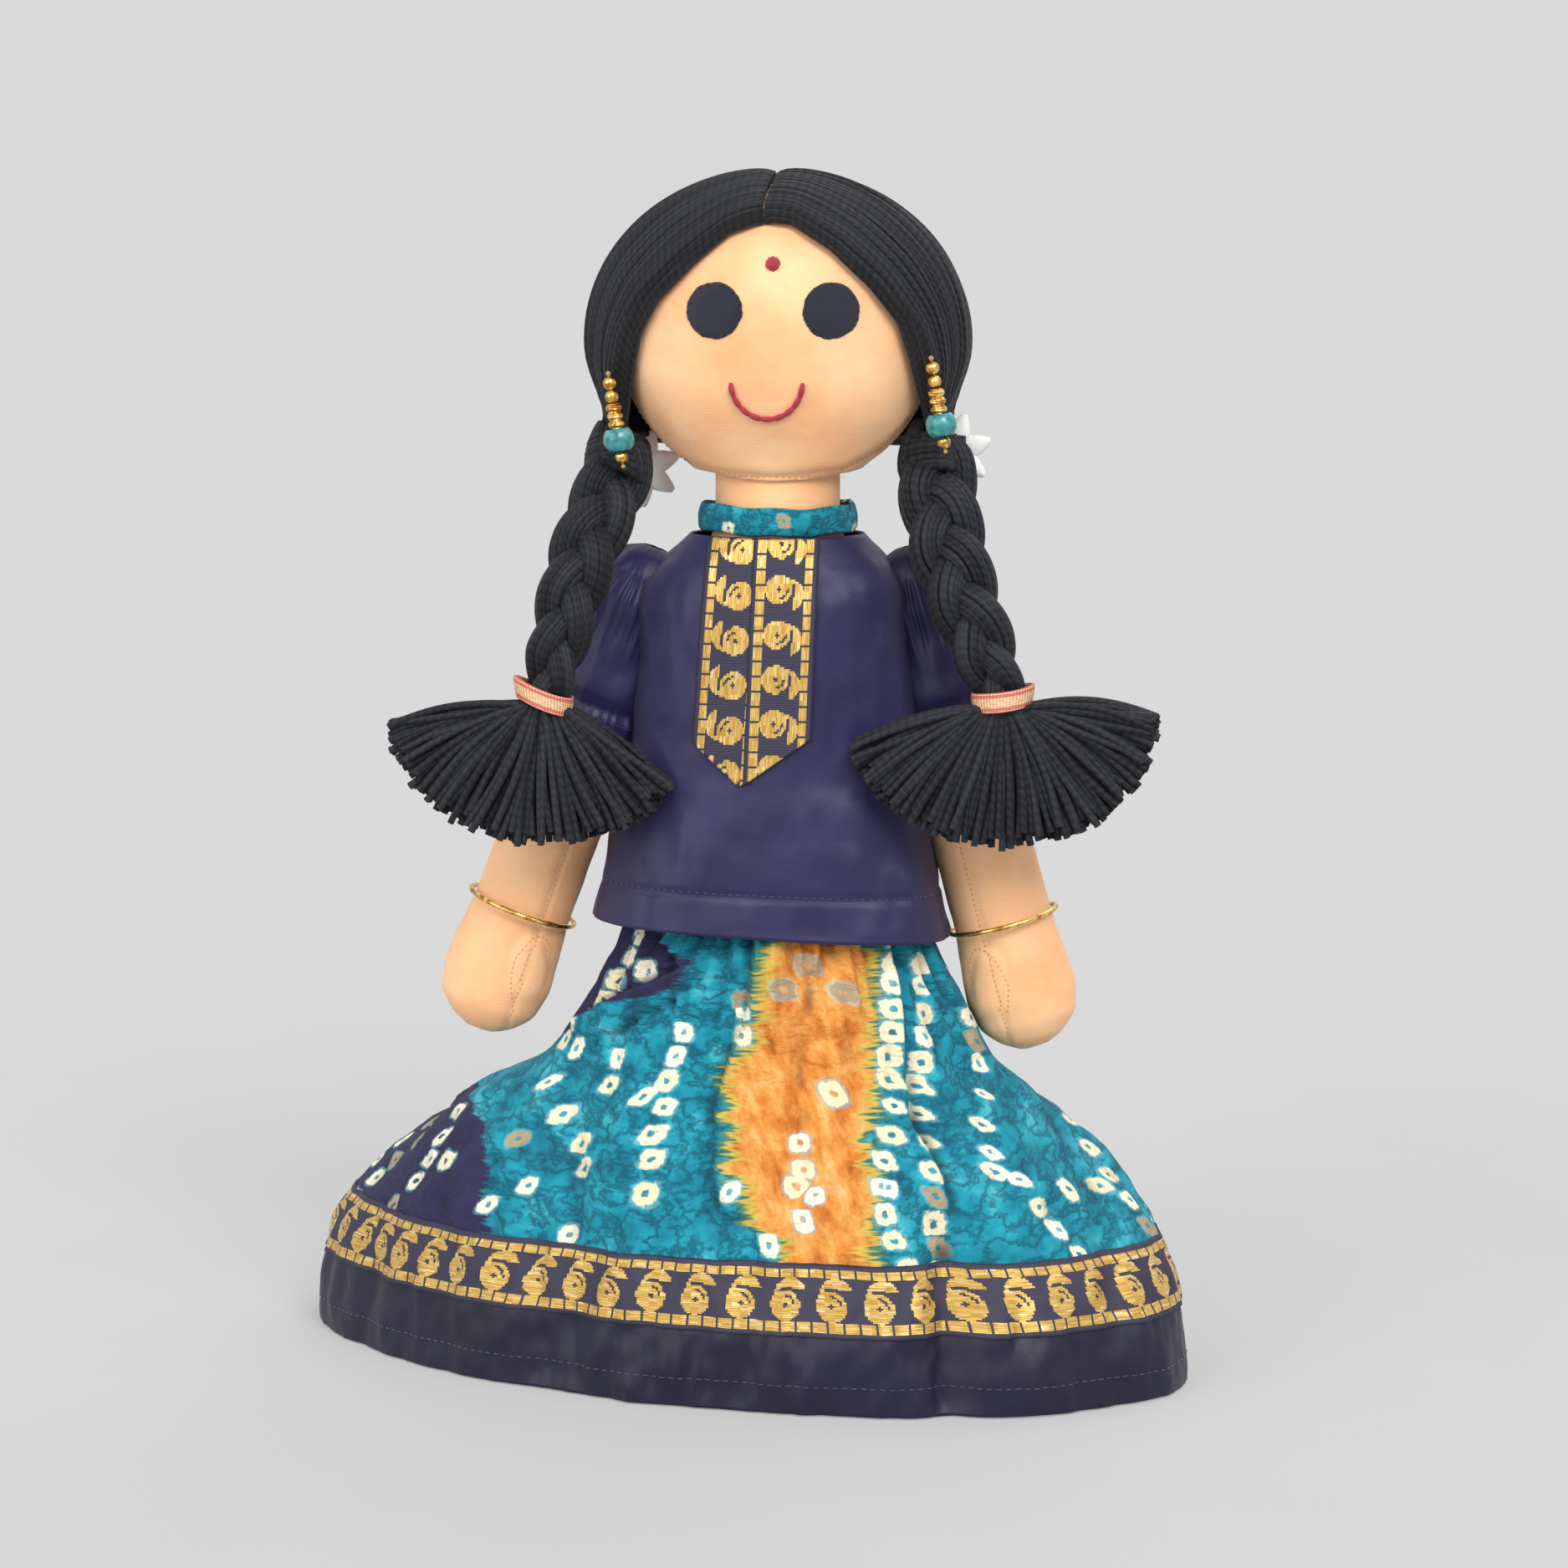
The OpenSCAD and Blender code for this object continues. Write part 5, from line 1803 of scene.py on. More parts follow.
    def waistband(self, shop: Shop) -> bpy.types.Object:
        """Ruch the waistband over its elastic."""
        former = Former(["skirt_waistband"], (0, 0, 141), (0, 0, 151))
        z = np.linspace(0.3, 9.7, 16)
        radii = former.reach([5.0], 360)
        turn = math.tau * np.arange(360) / 360
        ruche = 0.45 * np.sin(turn * 60) + 0.2 * np.sin(turn * 97 + 1)
        puff = np.sin(np.pi * z / 10)[:, None] ** 0.6
        rows = radii - 0.5 + (ruche[None] * 0.6 - 0.2) * puff
        grid = Grid(former.points(z, rows))
        u = np.linspace(0, 205, 361)[None] + 0 * z[:, None]
        grid.cloth = np.stack([u, np.broadcast_to(z[:, None] + 60, u.shape)], -1)
        band = grid.shell("waistband", 0.45)
        dress(band, "torso", shop.finish.satin, "navy_satin", "skirt_waistband")
        elastic = frame["nodes"]["waist_elastic"]
        elastic.data.materials.clear()
        elastic.data.materials.append(shop.finish.elastic)
        return band


# ---- Tunic ----


@dataclass
class Tunic:
    """The navy satin tunic: a boxy body, two puffed sleeves, the collar and the two chest ribbons."""

    columns: int = 360
    rows: int = 120
    top: float = 233.6
    widths: tuple[tuple[float, float, float], ...] = (
        (118.0, 54.0, 50.0), (123.0, 53.0, 49.6), (135, 50.4, 46.6), (150, 47.6, 43.6), (165, 44.2, 41.6),
        (180, 41.4, 40.2),
        (192, 40.0, 38.8), (205, 39.6, 37.2), (213, 38.6, 36.2), (219, 36.4, 34.4), (224, 33.4, 32.0),
        (229, 29.2, 28.6),
        (233.6, 24.6, 24.4),
    )
    depths: tuple[tuple[float, float], ...] = (
        (118.0, 35.6), (123.0, 34.6), (150, 30.0), (165, 28.6), (190, 27.2), (205, 26.6), (215, 25.6), (224, 23.9),
        (229, 22.6),
        (233.6, 21.0),
    )
    boxy: float = 2.7
    wall: float = 0.7

    def section(self, z: np.ndarray, turn: np.ndarray) -> np.ndarray:
        """Points of level sections, before the folds."""
        left = np.interp(z, [w[0] for w in self.widths], [w[1] for w in self.widths])
        right = np.interp(z, [w[0] for w in self.widths], [w[2] for w in self.widths])
        depth = np.interp(z, [d[0] for d in self.depths], [d[1] for d in self.depths])
        power = 2 / (2 + (self.boxy - 2) * ramp(z, 232, 216))[:, None]
        c, s = np.cos(turn), np.sin(turn)
        sx = np.sign(c) * np.abs(c) ** power
        sy = np.sign(s) * np.abs(s) ** power
        wide = np.where(sx < 0, left[:, None], right[:, None])
        return np.stack([wide * sx, depth[:, None] * sy, np.broadcast_to(z[:, None], sx.shape)], -1)

    def surface(self, low_lift: float = 0.0) -> np.ndarray:
        """The folded surface, with its hem slanting down towards the doll's left."""
        turn = math.tau * np.arange(self.columns) / self.columns
        t = np.linspace(0, 1, self.rows)
        z = 122.4 + low_lift + (self.top - 122.4 - low_lift) * t
        points = self.section(z, turn[None] + 0 * z[:, None])
        x, y = points[..., 0], points[..., 1]
        drop = (1 - t)[:, None] ** 3
        points[..., 2] += drop * (0.8 - 0.055 * (x + 10)) * (1 - 0.45 * ramp(y, 0, 25))
        n = Grid(points).normals()
        if np.einsum("ij,ij->", n[20], points[20] * [1, 1, 0]) < 0:
            n = -n
        zz = points[..., 2]
        sag = 0.9 * np.sin(x / 8.5 + zz / 31) * ramp(zz, 185, 140) + 0.5 * np.sin(
            x / 5 - zz / 17 + 2
        ) * ramp(zz, 170, 130)
        belly = 1.5 * np.exp(-(((zz - 150) / 17) ** 2) - ((x / 34) ** 2)) - 0.9 * np.exp(-(((zz - 176) / 12) ** 2))
        corner = 0.9 * np.exp(-((np.abs(x) - 33) / 7) ** 2) * ramp(zz, 150, 190)
        pull = 0.9 * np.sin((zz + np.abs(x) * 1.4) / 5.2) * np.exp(
            -(((np.abs(x) - 36) / 8) ** 2)
        ) * ramp(zz, 170, 190) * ramp(zz, 226, 214)
        wrinkle = np.array(
            [[noise.noise(Vector((p[0] / 14, p[1] / 10, p[2] / 24))) + 0.45 * noise.noise(Vector((p[0] / 5, p[1] / 5, p[2] / 9))) for p in row] for row in points]
        )
        under = ramp(-y, 0, 10) * ramp(np.abs(x + 4), 21, 15) * ramp(zz, 166, 176)
        hem = 0.55 * np.exp(-(((zz - 134.2 + 0.03 * x) / 1.1) ** 2))
        push = (
            sag + belly + corner + pull + wrinkle
        ) * (1 - 0.75 * under) * ramp(zz, 236, 224) - hem * ramp(zz, 140, 136)
        push *= ramp(zz, 119, 125) * 0.5 + 0.5
        flank = ramp(np.abs(x), 40, 47) * ramp(zz, 165, 145)
        front = ramp(np.abs(x), 24, 32) * ramp(-y, 0, 8) * ramp(zz, 138, 146) * ramp(zz, 206, 196)
        push = np.where(push > 0, push * (1 - 0.85 * np.maximum(flank, front)), push)
        neck = ramp(zz, self.top - 9, self.top)
        return points + n * (push * (1 - neck))[..., None]

    def build(self, shop: Shop) -> None:
        """Build and dress the pieces."""
        points = self.surface()
        self.points = points
        grid = Grid(points)
        run = np.cumsum(np.linalg.norm(np.diff(points, axis=1, append=points[:, :1]), axis=2), 1)
        u = np.concatenate([np.zeros((len(points), 1)), run], 1)
        grid.cloth = np.stack([u, np.broadcast_to(points[:, :1, 2], u.shape)], -1)
        body = grid.shell("tunic", self.wall)
        dress(body, "torso", shop.finish.satin, "navy_satin", "tunic_front", "tunic_back")
        seams = self.seams(shop)
        strips = [self.strip(shop, Side.RIGHT, 0.75), self.strip(shop, Side.LEFT, 1.5)]
        for side in Side:
            self.sleeve(shop, side)
        self.collar(shop)

    def front_y(self, x: np.ndarray, z: np.ndarray) -> np.ndarray:
        """The y of the tunic's front at x and z."""
        flat = self.points[:, self.columns // 2 :]
        out = []
        for px, pz in zip(np.ravel(x), np.ravel(z)):
            row = np.abs(flat[:, len(flat[0]) // 2, 2] - pz).argmin()
            xs = flat[row, :, 0]
            out.append(np.interp(px, xs, flat[row, :, 1]))
        return np.array(out).reshape(np.shape(x))

    def seams(self, shop: Shop) -> bpy.types.Object:
        """Sew the hem."""
        row = 13
        ring = self.points[row]
        out = ring * [1, 1, 0]
        out /= np.linalg.norm(out, axis=1, keepdims=True)
        hem = np.concatenate([ring + out * 0.1, ring[:1] + out[:1] * 0.1])
        lines, ups = [hem], [np.concatenate([out, out[:1]])]
        return dress(
            shop.sew("tunic_hem_thread", lines, ups, shop.finish.navy_thread, 2.3, 1.7, 0.3, 0.26, 0.08, 4),
            "torso", shop.finish.navy_thread, "navy_satin",
        )

    def strip(self, shop: Shop, side: Side, lift: float) -> bpy.types.Object:
        """Lay one chest ribbon, cut to a point.

        Args:
            shop: The shop.
            side: The side that it lies on.
            lift: How far it stands off the tunic.

        Returns:
            The ribbon.
        """
        rows, columns = 120, 26
        tip_z, top_z = 164.8, 233.4
        t = np.linspace(0, 1, rows)[:, None]
        s = np.linspace(0, 1, columns)[None]
        if side is Side.RIGHT:
            heights, edges, offset, width = (164, 184, 234), (-23.6, -22.3, -18.9), 0.0, 18.0
            foot = ((-23.6, -8.0, 2.0), (178.5, tip_z, 172))
        else:
            heights, edges, offset, width = (164, 178, 234), (9.8, 10.4, 12.7), -18.3, 18.3
            foot = ((-8.5, -8.0, 10.4), (tip_z + 0.6, tip_z, 178.0))
        low = np.interp(np.interp(190, heights, edges) + offset + width * s, *foot)
        z = low + (top_z - low) * t
        x = np.interp(z, heights, edges) + offset + width * s
        y = self.front_y(x, z)
        y = soften(soften(y, 2, 0, False), 2, 1, False) - lift
        roll = np.exp(-((s / 0.05) ** 2)) + np.exp(-(((1 - s) / 0.05) ** 2))
        y = y + roll * 0.25
        points = np.stack([x, y, z], -1)
        if side is Side.LEFT:
            u = (top_z - z) + 4.0
            v = 18.3 * s + 0 * z
        else:
            u = z - tip_z + 2.0
            v = 18.3 * (1 - s) + 0 * z
        strip = Grid(points, False, np.stack([u, v], -1)).shell(f"chest_ribbon_{side.word}", 0.55)
        dress(strip, "torso", shop.finish.brocade, "brocade_ribbon", f"placket_{side.word}")
        return strip

    def sleeve(self, shop: Shop, side: Side) -> None:
        """Puff one sleeve, gathered at the armhole and at its hem."""
        sign, node = side.value, f"sleeve_{side.word}"
        pivot = shop.pivot(f"arm_{side.word}_raise")
        tilt = math.radians(14.61 if sign > 0 else 20.51)
        down = Vector((sign * math.sin(tilt), 0, -math.cos(tilt)))
        former = Former([node], pivot - down * 15.2, pivot + down * 200)
        rows, columns = 90, 240
        t = np.linspace(0, 1, rows)
        heights = 0.35 + 55.6 * t**1.15
        radii = former.reach(heights, columns)
        radii = soften(soften(np.maximum(radii, 1.5), 3), 3, 0, False)
        turn = math.tau * np.arange(columns) / columns
        gathers = 0.5 * np.sin(turn * 17 + 1) + 0.35 * np.sin(turn * 29 + 2) + 0.3 * np.sin(turn * 41)
        down_t = heights[:, None]
        puff = 0.75 * gathers[None] * (ramp(down_t, 6, 14) * ramp(down_t, 34, 20) + 0.6 * ramp(down_t, 42, 52))
        ridge = 1.0 * np.sin(down_t / 3.1 + 1.6 * np.sin(turn)[None]) * ramp(down_t, 2, 8) * ramp(down_t, 30, 18)
        fine = np.array(
            [[noise.noise(Vector((math.cos(a) * 2.2, math.sin(a) * 2.2, h / 9))) for a in turn] for h in heights]
        )
        cuff = -1.1 * np.exp(-(((down_t - 47) / 2.0) ** 2))
        radii = radii + puff + ridge * 0.8 + fine * 0.9 + cuff
        points = former.points(heights, radii)
        grid = Grid(points)
        u = np.linspace(0, 96, columns + 1)[None] + 0 * down_t
        grid.cloth = np.stack([u, np.broadcast_to(down_t, u.shape)], -1)
        sleeve = grid.shell(node + "_satin", 0.6)
        dress(sleeve, "", shop.finish.satin, "navy_satin", node)
        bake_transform(sleeve)
        row = points[-9]
        centre = row.mean(0)
        out = row - centre
        out /= np.linalg.norm(out, axis=1, keepdims=True)
        line = np.concatenate([row + out * 0.1, row[:1] + out[:1] * 0.1])
        thread = shop.sew(
            node + "_thread", [line], [np.concatenate([out, out[:1]])], shop.finish.navy_thread, 2.0, 1.4, 0.3, 0.26,
            0.1, 8
        )
        dress(thread, f"arm_{side.word}", shop.finish.navy_thread, "navy_satin")

    def collar(self, shop: Shop) -> None:
        """Fold the collar band round the neck."""
        low, high = (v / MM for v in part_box("collar_band"))
        former = Former(["collar_band"], (0, 0, low.z), (0, 0, high.z))
        t = np.linspace(0, 1, 22)
        heights = (high.z - low.z) * t
        radii = former.reach(np.full(len(t), 4.0), 260)
        turn = math.tau * np.arange(260) / 260
        puff = 0.9 * np.sin(np.pi * t)[:, None] ** 0.5 - 0.9
        crease = np.array(
            [[noise.noise(Vector((math.cos(a) * 5, math.sin(a) * 5, h / 6))) for a in turn] for h in heights]
        )
        lean = -0.7 * t[:, None]
        radii = radii + puff + crease * 0.4 * np.sin(np.pi * t)[:, None] + lean
        points = former.points(heights, radii)
        points[..., 2] += 0.5 * np.sin(turn * 2 + 1)[None] + 0.25 * np.sin(turn * 7)[None]
        u = np.linspace(0, 137, 261)[None] + 0 * t[:, None]
        v = heights[:, None] + 248 + 0 * u
        grid = Grid(points, True, np.stack([u, v], -1), np.ones((22, 260)), np.stack([u, 1000 + 0 * u], -1))
        collar = grid.shell("collar", 1.1)
        dress(collar, "torso", shop.finish.collar, "bandhani_cotton", "collar_band")


# ---- Hair ----


@dataclass
class Hair:
    """Black yarn laid from the parting to a gathered knot on each side of the head."""

    centre: float = 288.0
    half: tuple[float, float, float] = (53.4, 41.4, 46.9)
    skull: tuple[float, float, float] = (44.9, 34.4, 42.4)
    knot: tuple[float, float, float] = (46.0, -1.0, 262.0)
    knot_r: tuple[float, float, float] = (8.6, 9.6, 11.4)
    strands: int = 92
    points: int = 44
    yarn: float = 0.78
    hairline: dict[int, tuple[tuple[float, float], ...]] = field(
        default_factory=lambda: {
            -1: (
                (-3.6, 325), (-13.6, 321.4), (-24.5, 312.8), (-36.5, 301.4), (-42.4, 291), (-45.1, 279.3), (-45.6, 268)
            ),
            1: (
                (-2.6, 325), (5.7, 323.9), (18.3, 316.2), (29.7, 306), (39.3, 294.2), (42.6, 284.3), (44.6, 276),
                (45.4, 268)
            ),
        }
    )

    def edge(self, side: Side, count: int) -> np.ndarray:
        """The hairline from the parting to the knot, on the head."""
        line = np.array(self.hairline[side.value], float)
        run = np.concatenate([[0], np.cumsum(np.linalg.norm(np.diff(line, axis=0), axis=1))])
        t = np.linspace(0, run[-1], count)
        x, z = np.interp(t, run, line[:, 0]), np.interp(t, run, line[:, 1])
        a, b, c = self.half
        inside = 1 - (x / a) ** 2 - ((z - self.centre) / c) ** 2
        return np.stack([x, -b * np.sqrt(np.maximum(inside, 0.02)), z], 1)

    def lift(self, p: np.ndarray, share: float | np.ndarray) -> np.ndarray:
        """Put points on the hair's form, a share of the way from the skull to the outside."""
        c = np.array([0, 0, self.centre])
        q = p - c
        inner = 1 / np.linalg.norm(q / np.array(self.skull), axis=-1, keepdims=True)
        outer = 1 / np.linalg.norm(q / np.array(self.half), axis=-1, keepdims=True)
        share = np.reshape(share, (-1, 1)) if np.ndim(share) else share
        return c + q * (inner + (outer - inner) * share)

    def course(self, side: Side, k: float, depth: float = 1.0) -> np.ndarray:
        """One strand's course.

        Args:
            side: The side.
            k: From 0 at the hairline, over the crown, to 1 at the nape.
            depth: Share of the hair's thickness.

        Returns:
            Its points, from the parting to the knot.
        """
        sign = side.value
        t = np.linspace(0, 1, self.points)
        _, b, c = self.half
        tip = math.radians(38 - 158 * k)
        start = np.array([sign * 0.9 - 2.8 * max(0, 1 - k * 5), -b * math.sin(tip), self.centre + c * math.cos(tip)])
        kx, ky, kz = self.knot
        around = math.radians(200 - 300 * k)
        end = np.array([
            sign * (kx + self.knot_r[0] * 0.35 * math.cos(around)),
            ky - self.knot_r[1] * 0.86 * math.cos(math.pi * k),
            kz - 1 + self.knot_r[2] * 0.55 * math.sin(math.pi * k) - 3.0 * k,
        ])
        p0, p1 = start - [0, 0, self.centre], end - [0, 0, self.centre]
        n0, n1 = p0 / np.linalg.norm(p0), p1 / np.linalg.norm(p1)
        angle = math.acos(max(-1, min(1, float(n0 @ n1))))
        way = (np.sin((1 - t) * angle)[:, None] * n0 + np.sin(t * angle)[:, None] * n1) / math.sin(angle)
        if k < 0.24:
            line = self.edge(side, self.points) - [0, 0, self.centre]
            line = line / np.linalg.norm(line, axis=1, keepdims=True)
            mix = (k / 0.24) ** 0.85
            way = line * (1 - mix) + way * mix
        out = way / np.linalg.norm(way, axis=1, keepdims=True) * 60 + [0, 0, self.centre]
        thin = ramp(np.array(k), 0.0, 0.055)
        body = self.lift(out, (0.30 + 0.70 * float(thin)) * depth + 0 * t)
        blend_in = ramp(t, 0.80, 1.0)[:, None]
        body = body * (1 - blend_in) + end * blend_in + np.array([0, 0, 0])
        groove = np.exp(-t / 0.03)[:, None] * 1.2
        away = (body - [0, 0, self.centre]) / np.linalg.norm(body - [0, 0, self.centre], axis=1, keepdims=True)
        return body - away * groove

    def build(self, shop: Shop) -> None:
        """Build and dress the pieces."""
        for side in Side:
            self.half_head(shop, side)
        self.parting(shop)

    def half_head(self, shop: Shop, side: Side) -> None:
        """Lay one side."""
        rng = random.Random(7 + side.value)
        rows = np.array([self.course(side, k, 0.86) for k in np.linspace(0.012, 0.995, 80)])
        if side is Side.RIGHT:
            rows = rows[::-1]
        cap = Grid(rows, False).shell(f"hair_{side.word}_under", 2.2)
        dress(cap, "head", shop.finish.yarn, "black_yarn", f"hair_{side.word}")
        lines, thick, shade = [], [], []
        for layer, count in ((1.0, self.strands), (0.93, self.strands)):
            for i in range(count):
                k = (i + 0.5 + rng.uniform(-0.3, 0.3)) / count
                if layer < 1:
                    k = (i + 0.1) / count
                line = self.course(side, min(max(k, 0.002), 0.998), layer + rng.uniform(-0.03, 0.035))
                wander = rng.uniform(0, 9)
                t = np.linspace(0, 1, len(line))
                line = line + np.outer(np.sin(t * 9 + wander) * np.sin(t * math.pi) * 0.35, [0.3, 0.5, 0.6])
                lines.append(line)
                swell = 1 + 0.25 * max(0, 1 - k * 14)
                thick.append(np.full(len(line), self.yarn * swell * rng.uniform(0.88, 1.12) * MM))
                shade.append(np.full(len(line), rng.random()))
        hair = shop.yarn.grow(
            f"hair_{side.word}_yarn", paths("hair", lines, thick=thick, shade=shade), Sides=7, Finish=shop.finish.yarn
        )
        dress(hair, "head", shop.finish.yarn, "black_yarn")

    def parting(self, shop: Shop) -> None:
        """Sew the parting."""
        _, b, c = self.half
        turn = np.radians(np.linspace(37, -118, 70))
        x = -2.6 * ramp(turn, math.radians(12), math.radians(37))
        line = np.stack([x, -(b - 1.0) * np.sin(turn), self.centre + (c - 1.0) * np.cos(turn)], 1)
        out = line - [0, 0, self.centre]
        out /= np.linalg.norm(out, axis=1, keepdims=True)
        thread = shop.sew("parting_thread", [line], [out], shop.finish.thread, 3.6, 2.4, 0.75, 0.6, 0.25, 2)
        dress(thread, "head", shop.finish.thread, "grey_thread", "parting_stitch")


@dataclass
class Braid:
    """A three-strand braid, its woven tie and its tassel."""

    side: Side
    period: float = 50.0
    fringe: float = 43.0

    def middle(self) -> np.ndarray:
        """Points on the braid's middle line from the knot down to the tie."""
        sign = self.side.value
        if sign < 0:
            rows = (
                (-44.5, -2, 262), (-44.2, -9, 251), (-48.5, -19, 240), (-53.4, -26, 228), (-57.2, -30, 214),
                (-60.2, -31.3, 201), (-62.6, -31, 190)
            )
        else:
            rows = (
                (44.8, -2, 262), (44.2, -9, 251), (46.6, -19, 238), (50.2, -26, 224), (55, -30, 211),
                (60.2, -31.3, 199), (63.4, -31, 190.5)
            )
        pts = np.array(rows, float)
        t = np.linspace(0, len(pts) - 1, 90)
        smooth = np.stack([np.interp(t, range(len(pts)), pts[:, i]) for i in range(3)], 1)
        return soften(smooth, 30, 0, False)

    def frame_of(self, line: np.ndarray) -> tuple[np.ndarray, np.ndarray, np.ndarray]:
        """Run, sideways and forward directions along the braid."""
        tangent = np.gradient(line, axis=0)
        tangent /= np.linalg.norm(tangent, axis=1, keepdims=True)
        side = np.cross(tangent, [0, -1, 0])
        side /= np.linalg.norm(side, axis=1, keepdims=True)
        front = np.cross(side, tangent)
        front *= np.where(front[:, 1:2] > 0, -1, 1)
        run = np.concatenate([[0], np.cumsum(np.linalg.norm(np.diff(line, axis=0), axis=1))])
        return run, side, front

    def build(self, shop: Shop) -> None:
        """Build and dress the pieces."""
        word, sign = self.side.word, self.side.value
        rng = random.Random(31 + sign)
        line = self.middle()
        run, side, front = self.frame_of(line)
        share = run / run[-1]
        width = np.interp(share, (0, 0.12, 0.5, 0.85, 1), (5.2, 7.4, 7.2, 6.0, 4.2)) * (1.0 if sign < 0 else 1.12)
        depth = width * 0.5
        lines, thick, shade = [], [], []
        for bundle in range(3):
            phase = math.tau * (run / self.period + bundle / 3) + 0.8
            centre = line + side * (width * 0.74 * np.sin(phase))[:, None] + front * (
                depth * 0.86 * np.sin(2 * phase)
            )[:, None]
            tangent = np.gradient(centre, axis=0)
            tangent /= np.linalg.norm(tangent, axis=1, keepdims=True)
            across = np.cross(tangent, front)
            across /= np.linalg.norm(across, axis=1, keepdims=True)
            up = np.cross(across, tangent)
            fat = width * 0.60
            lines.append(centre)
            thick.append(fat * 0.66 * MM)
            shade.append(np.full(len(run), 0.1))
            count = 19
            for i in range(count):
                turn = math.tau * i / count + rng.uniform(-0.1, 0.1)
                slow = turn + 0.9 * share * math.tau * 0.3
                off = across * (np.cos(slow) * fat * 0.90)[:, None] + up * (np.sin(slow) * fat * 0.74)[:, None]
                lines.append(centre + off)
                thick.append(np.full(len(run), 0.92 * rng.uniform(0.9, 1.1) * MM))
                shade.append(np.full(len(run), rng.random()))
        braid = shop.yarn.grow(
            f"braid_{word}_yarn", paths("braid", lines, thick=thick, shade=shade), Sides=7, Finish=shop.finish.yarn
        )
        dress(braid, "", shop.finish.yarn, "black_yarn", f"braid_{word}")
        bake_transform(braid)
        self.wrap(shop, line, run, side, front)
        self.tie(shop)
        self.tassel(shop, rng)

    def wrap(self, shop: Shop, line: np.ndarray, run: np.ndarray, side: np.ndarray, front: np.ndarray) -> None:
        """Wind yarn round the top of the braid."""
        word = self.side.word
        lines, thick, shade = [], [], []
        for k in range(7):
            at = np.interp(5 + k * 1.75, run, np.arange(len(run)))
            i = int(at)
            turn = np.linspace(0, math.tau, 40)
            wide, deep = 8.6 - abs(k - 2.5) * 0.25, 7.6 - abs(k - 2.5) * 0.2
            ring = line[i] + np.outer(np.cos(turn) * wide, side[i]) + np.outer(np.sin(turn) * deep, front[i])
            ring = ring + np.outer(turn / math.tau * 1.75, [0, 0, -1])
            lines.append(ring)
            thick.append(np.full(40, 1.15 * MM))
            shade.append(np.full(40, (k * 0.37) % 1))
        wound = shop.yarn.grow(
            f"braid_{word}_knot", paths("knot", lines, thick=thick, shade=shade), Sides=8, Finish=shop.finish.yarn
        )
        dress(wound, "head", shop.finish.yarn, "black_yarn")

    def tie(self, shop: Shop) -> None:
        """Wrap the woven band round the braid's end."""
        word, sign = self.side.word, self.side.value
        low, high = (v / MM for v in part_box(f"hair_tie_{word}"))
        middle = (low + high) / 2
        tilt = math.radians(20 if sign < 0 else 9)
        columns = 96
        turn = math.tau * np.arange(columns) / columns
        t = np.linspace(-0.5, 0.5, 12)
        rows = []
        for v in t:
            rx = 8.9 * (1 - 0.10 * (0.5 - v)) + 0.25 * math.cos(v * math.pi)
            ry = 6.9 * (1 - 0.06 * (0.5 - v))
            x, y = rx * np.cos(turn), ry * np.sin(turn)
            z = v * 5.6 + 0.25 * np.sin(turn * 2 + 1)
            rows.append(
                np.stack([middle.x + x * math.cos(tilt), middle.y + y, middle.z + z + sign * x * math.sin(tilt)], 1)
            )
        points = np.array(rows)
        u = np.linspace(0, 50, columns + 1)[None] + 0 * t[:, None]
        grid = Grid(points, True, np.stack([u, (t[:, None] + 0.5) * 5.6 + 0 * u], -1))
        tie = grid.shell(f"tie_{word}", 0.9)
        dress(tie, f"braid_{word}", shop.finish.band, "tie_ribbon", f"hair_tie_{word}")

    def tassel(self, shop: Shop, rng: random.Random) -> None:
        """Fan the cut yarn under the tie."""
        word, sign = self.side.word, self.side.value
        low, high = (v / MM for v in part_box(f"tassel_{word}"))
        root = np.array([sign * 63.5, (low.y + high.y) / 2, 187.0])
        first, last = (188, 325) if sign < 0 else (196, 357)
        lines, thick, shade = [], [], []
        count = 330
        for i in range(count):
            share = (i + rng.uniform(-0.5, 0.5)) / count
            turn = math.radians(first + (last - first) * min(max(share, 0), 1))
            reach = self.fringe * rng.uniform(0.9, 1.02)
            t = np.linspace(0, 1, 14)
            layer = rng.uniform(-1, 1)
            bend = rng.uniform(-4, 4)
            start = root + [math.cos(turn) * 6.0, layer * 3.4, 1.0]
            out = np.array([math.cos(turn), 0, math.sin(turn)])
            droop = -5.5 * t**2 * abs(math.cos(turn)) + 5.5 * t * abs(math.cos(turn))
            side = np.array([-out[2], 0, out[0]])
            line = start + np.outer(t * (reach - 4), out) + np.outer(np.sin(t * math.pi) * bend * 0.5, side)
            line[:, 2] += droop
            line[:, 1] += layer * 1.9 * np.sin(t * 2.0) + 0.4 * np.sin(t * 7 + i)
            line[:, 1] = np.clip(line[:, 1], low.y + 0.8, high.y - 0.8 - 2.2 * ramp(np.abs(line[:, 0]), 54, 44))
            floor_z, side_x = low.z - 1.0, (low.x - 2, high.x + 2)
            line[:, 2] = np.maximum(line[:, 2], floor_z)
            line[:, 0] = np.clip(line[:, 0], *side_x)
            lines.append(line)
            thick.append(np.full(14, rng.uniform(0.9, 1.12) * MM))
            shade.append(np.full(14, rng.random()))
        tassel = shop.yarn.grow(
            f"tassel_{word}_yarn", paths("tassel", lines, thick=thick, shade=shade), Sides=7, Finish=shop.finish.yarn
        )
        dress(tassel, f"braid_{word}", shop.finish.yarn, "black_yarn", f"tassel_{word}")


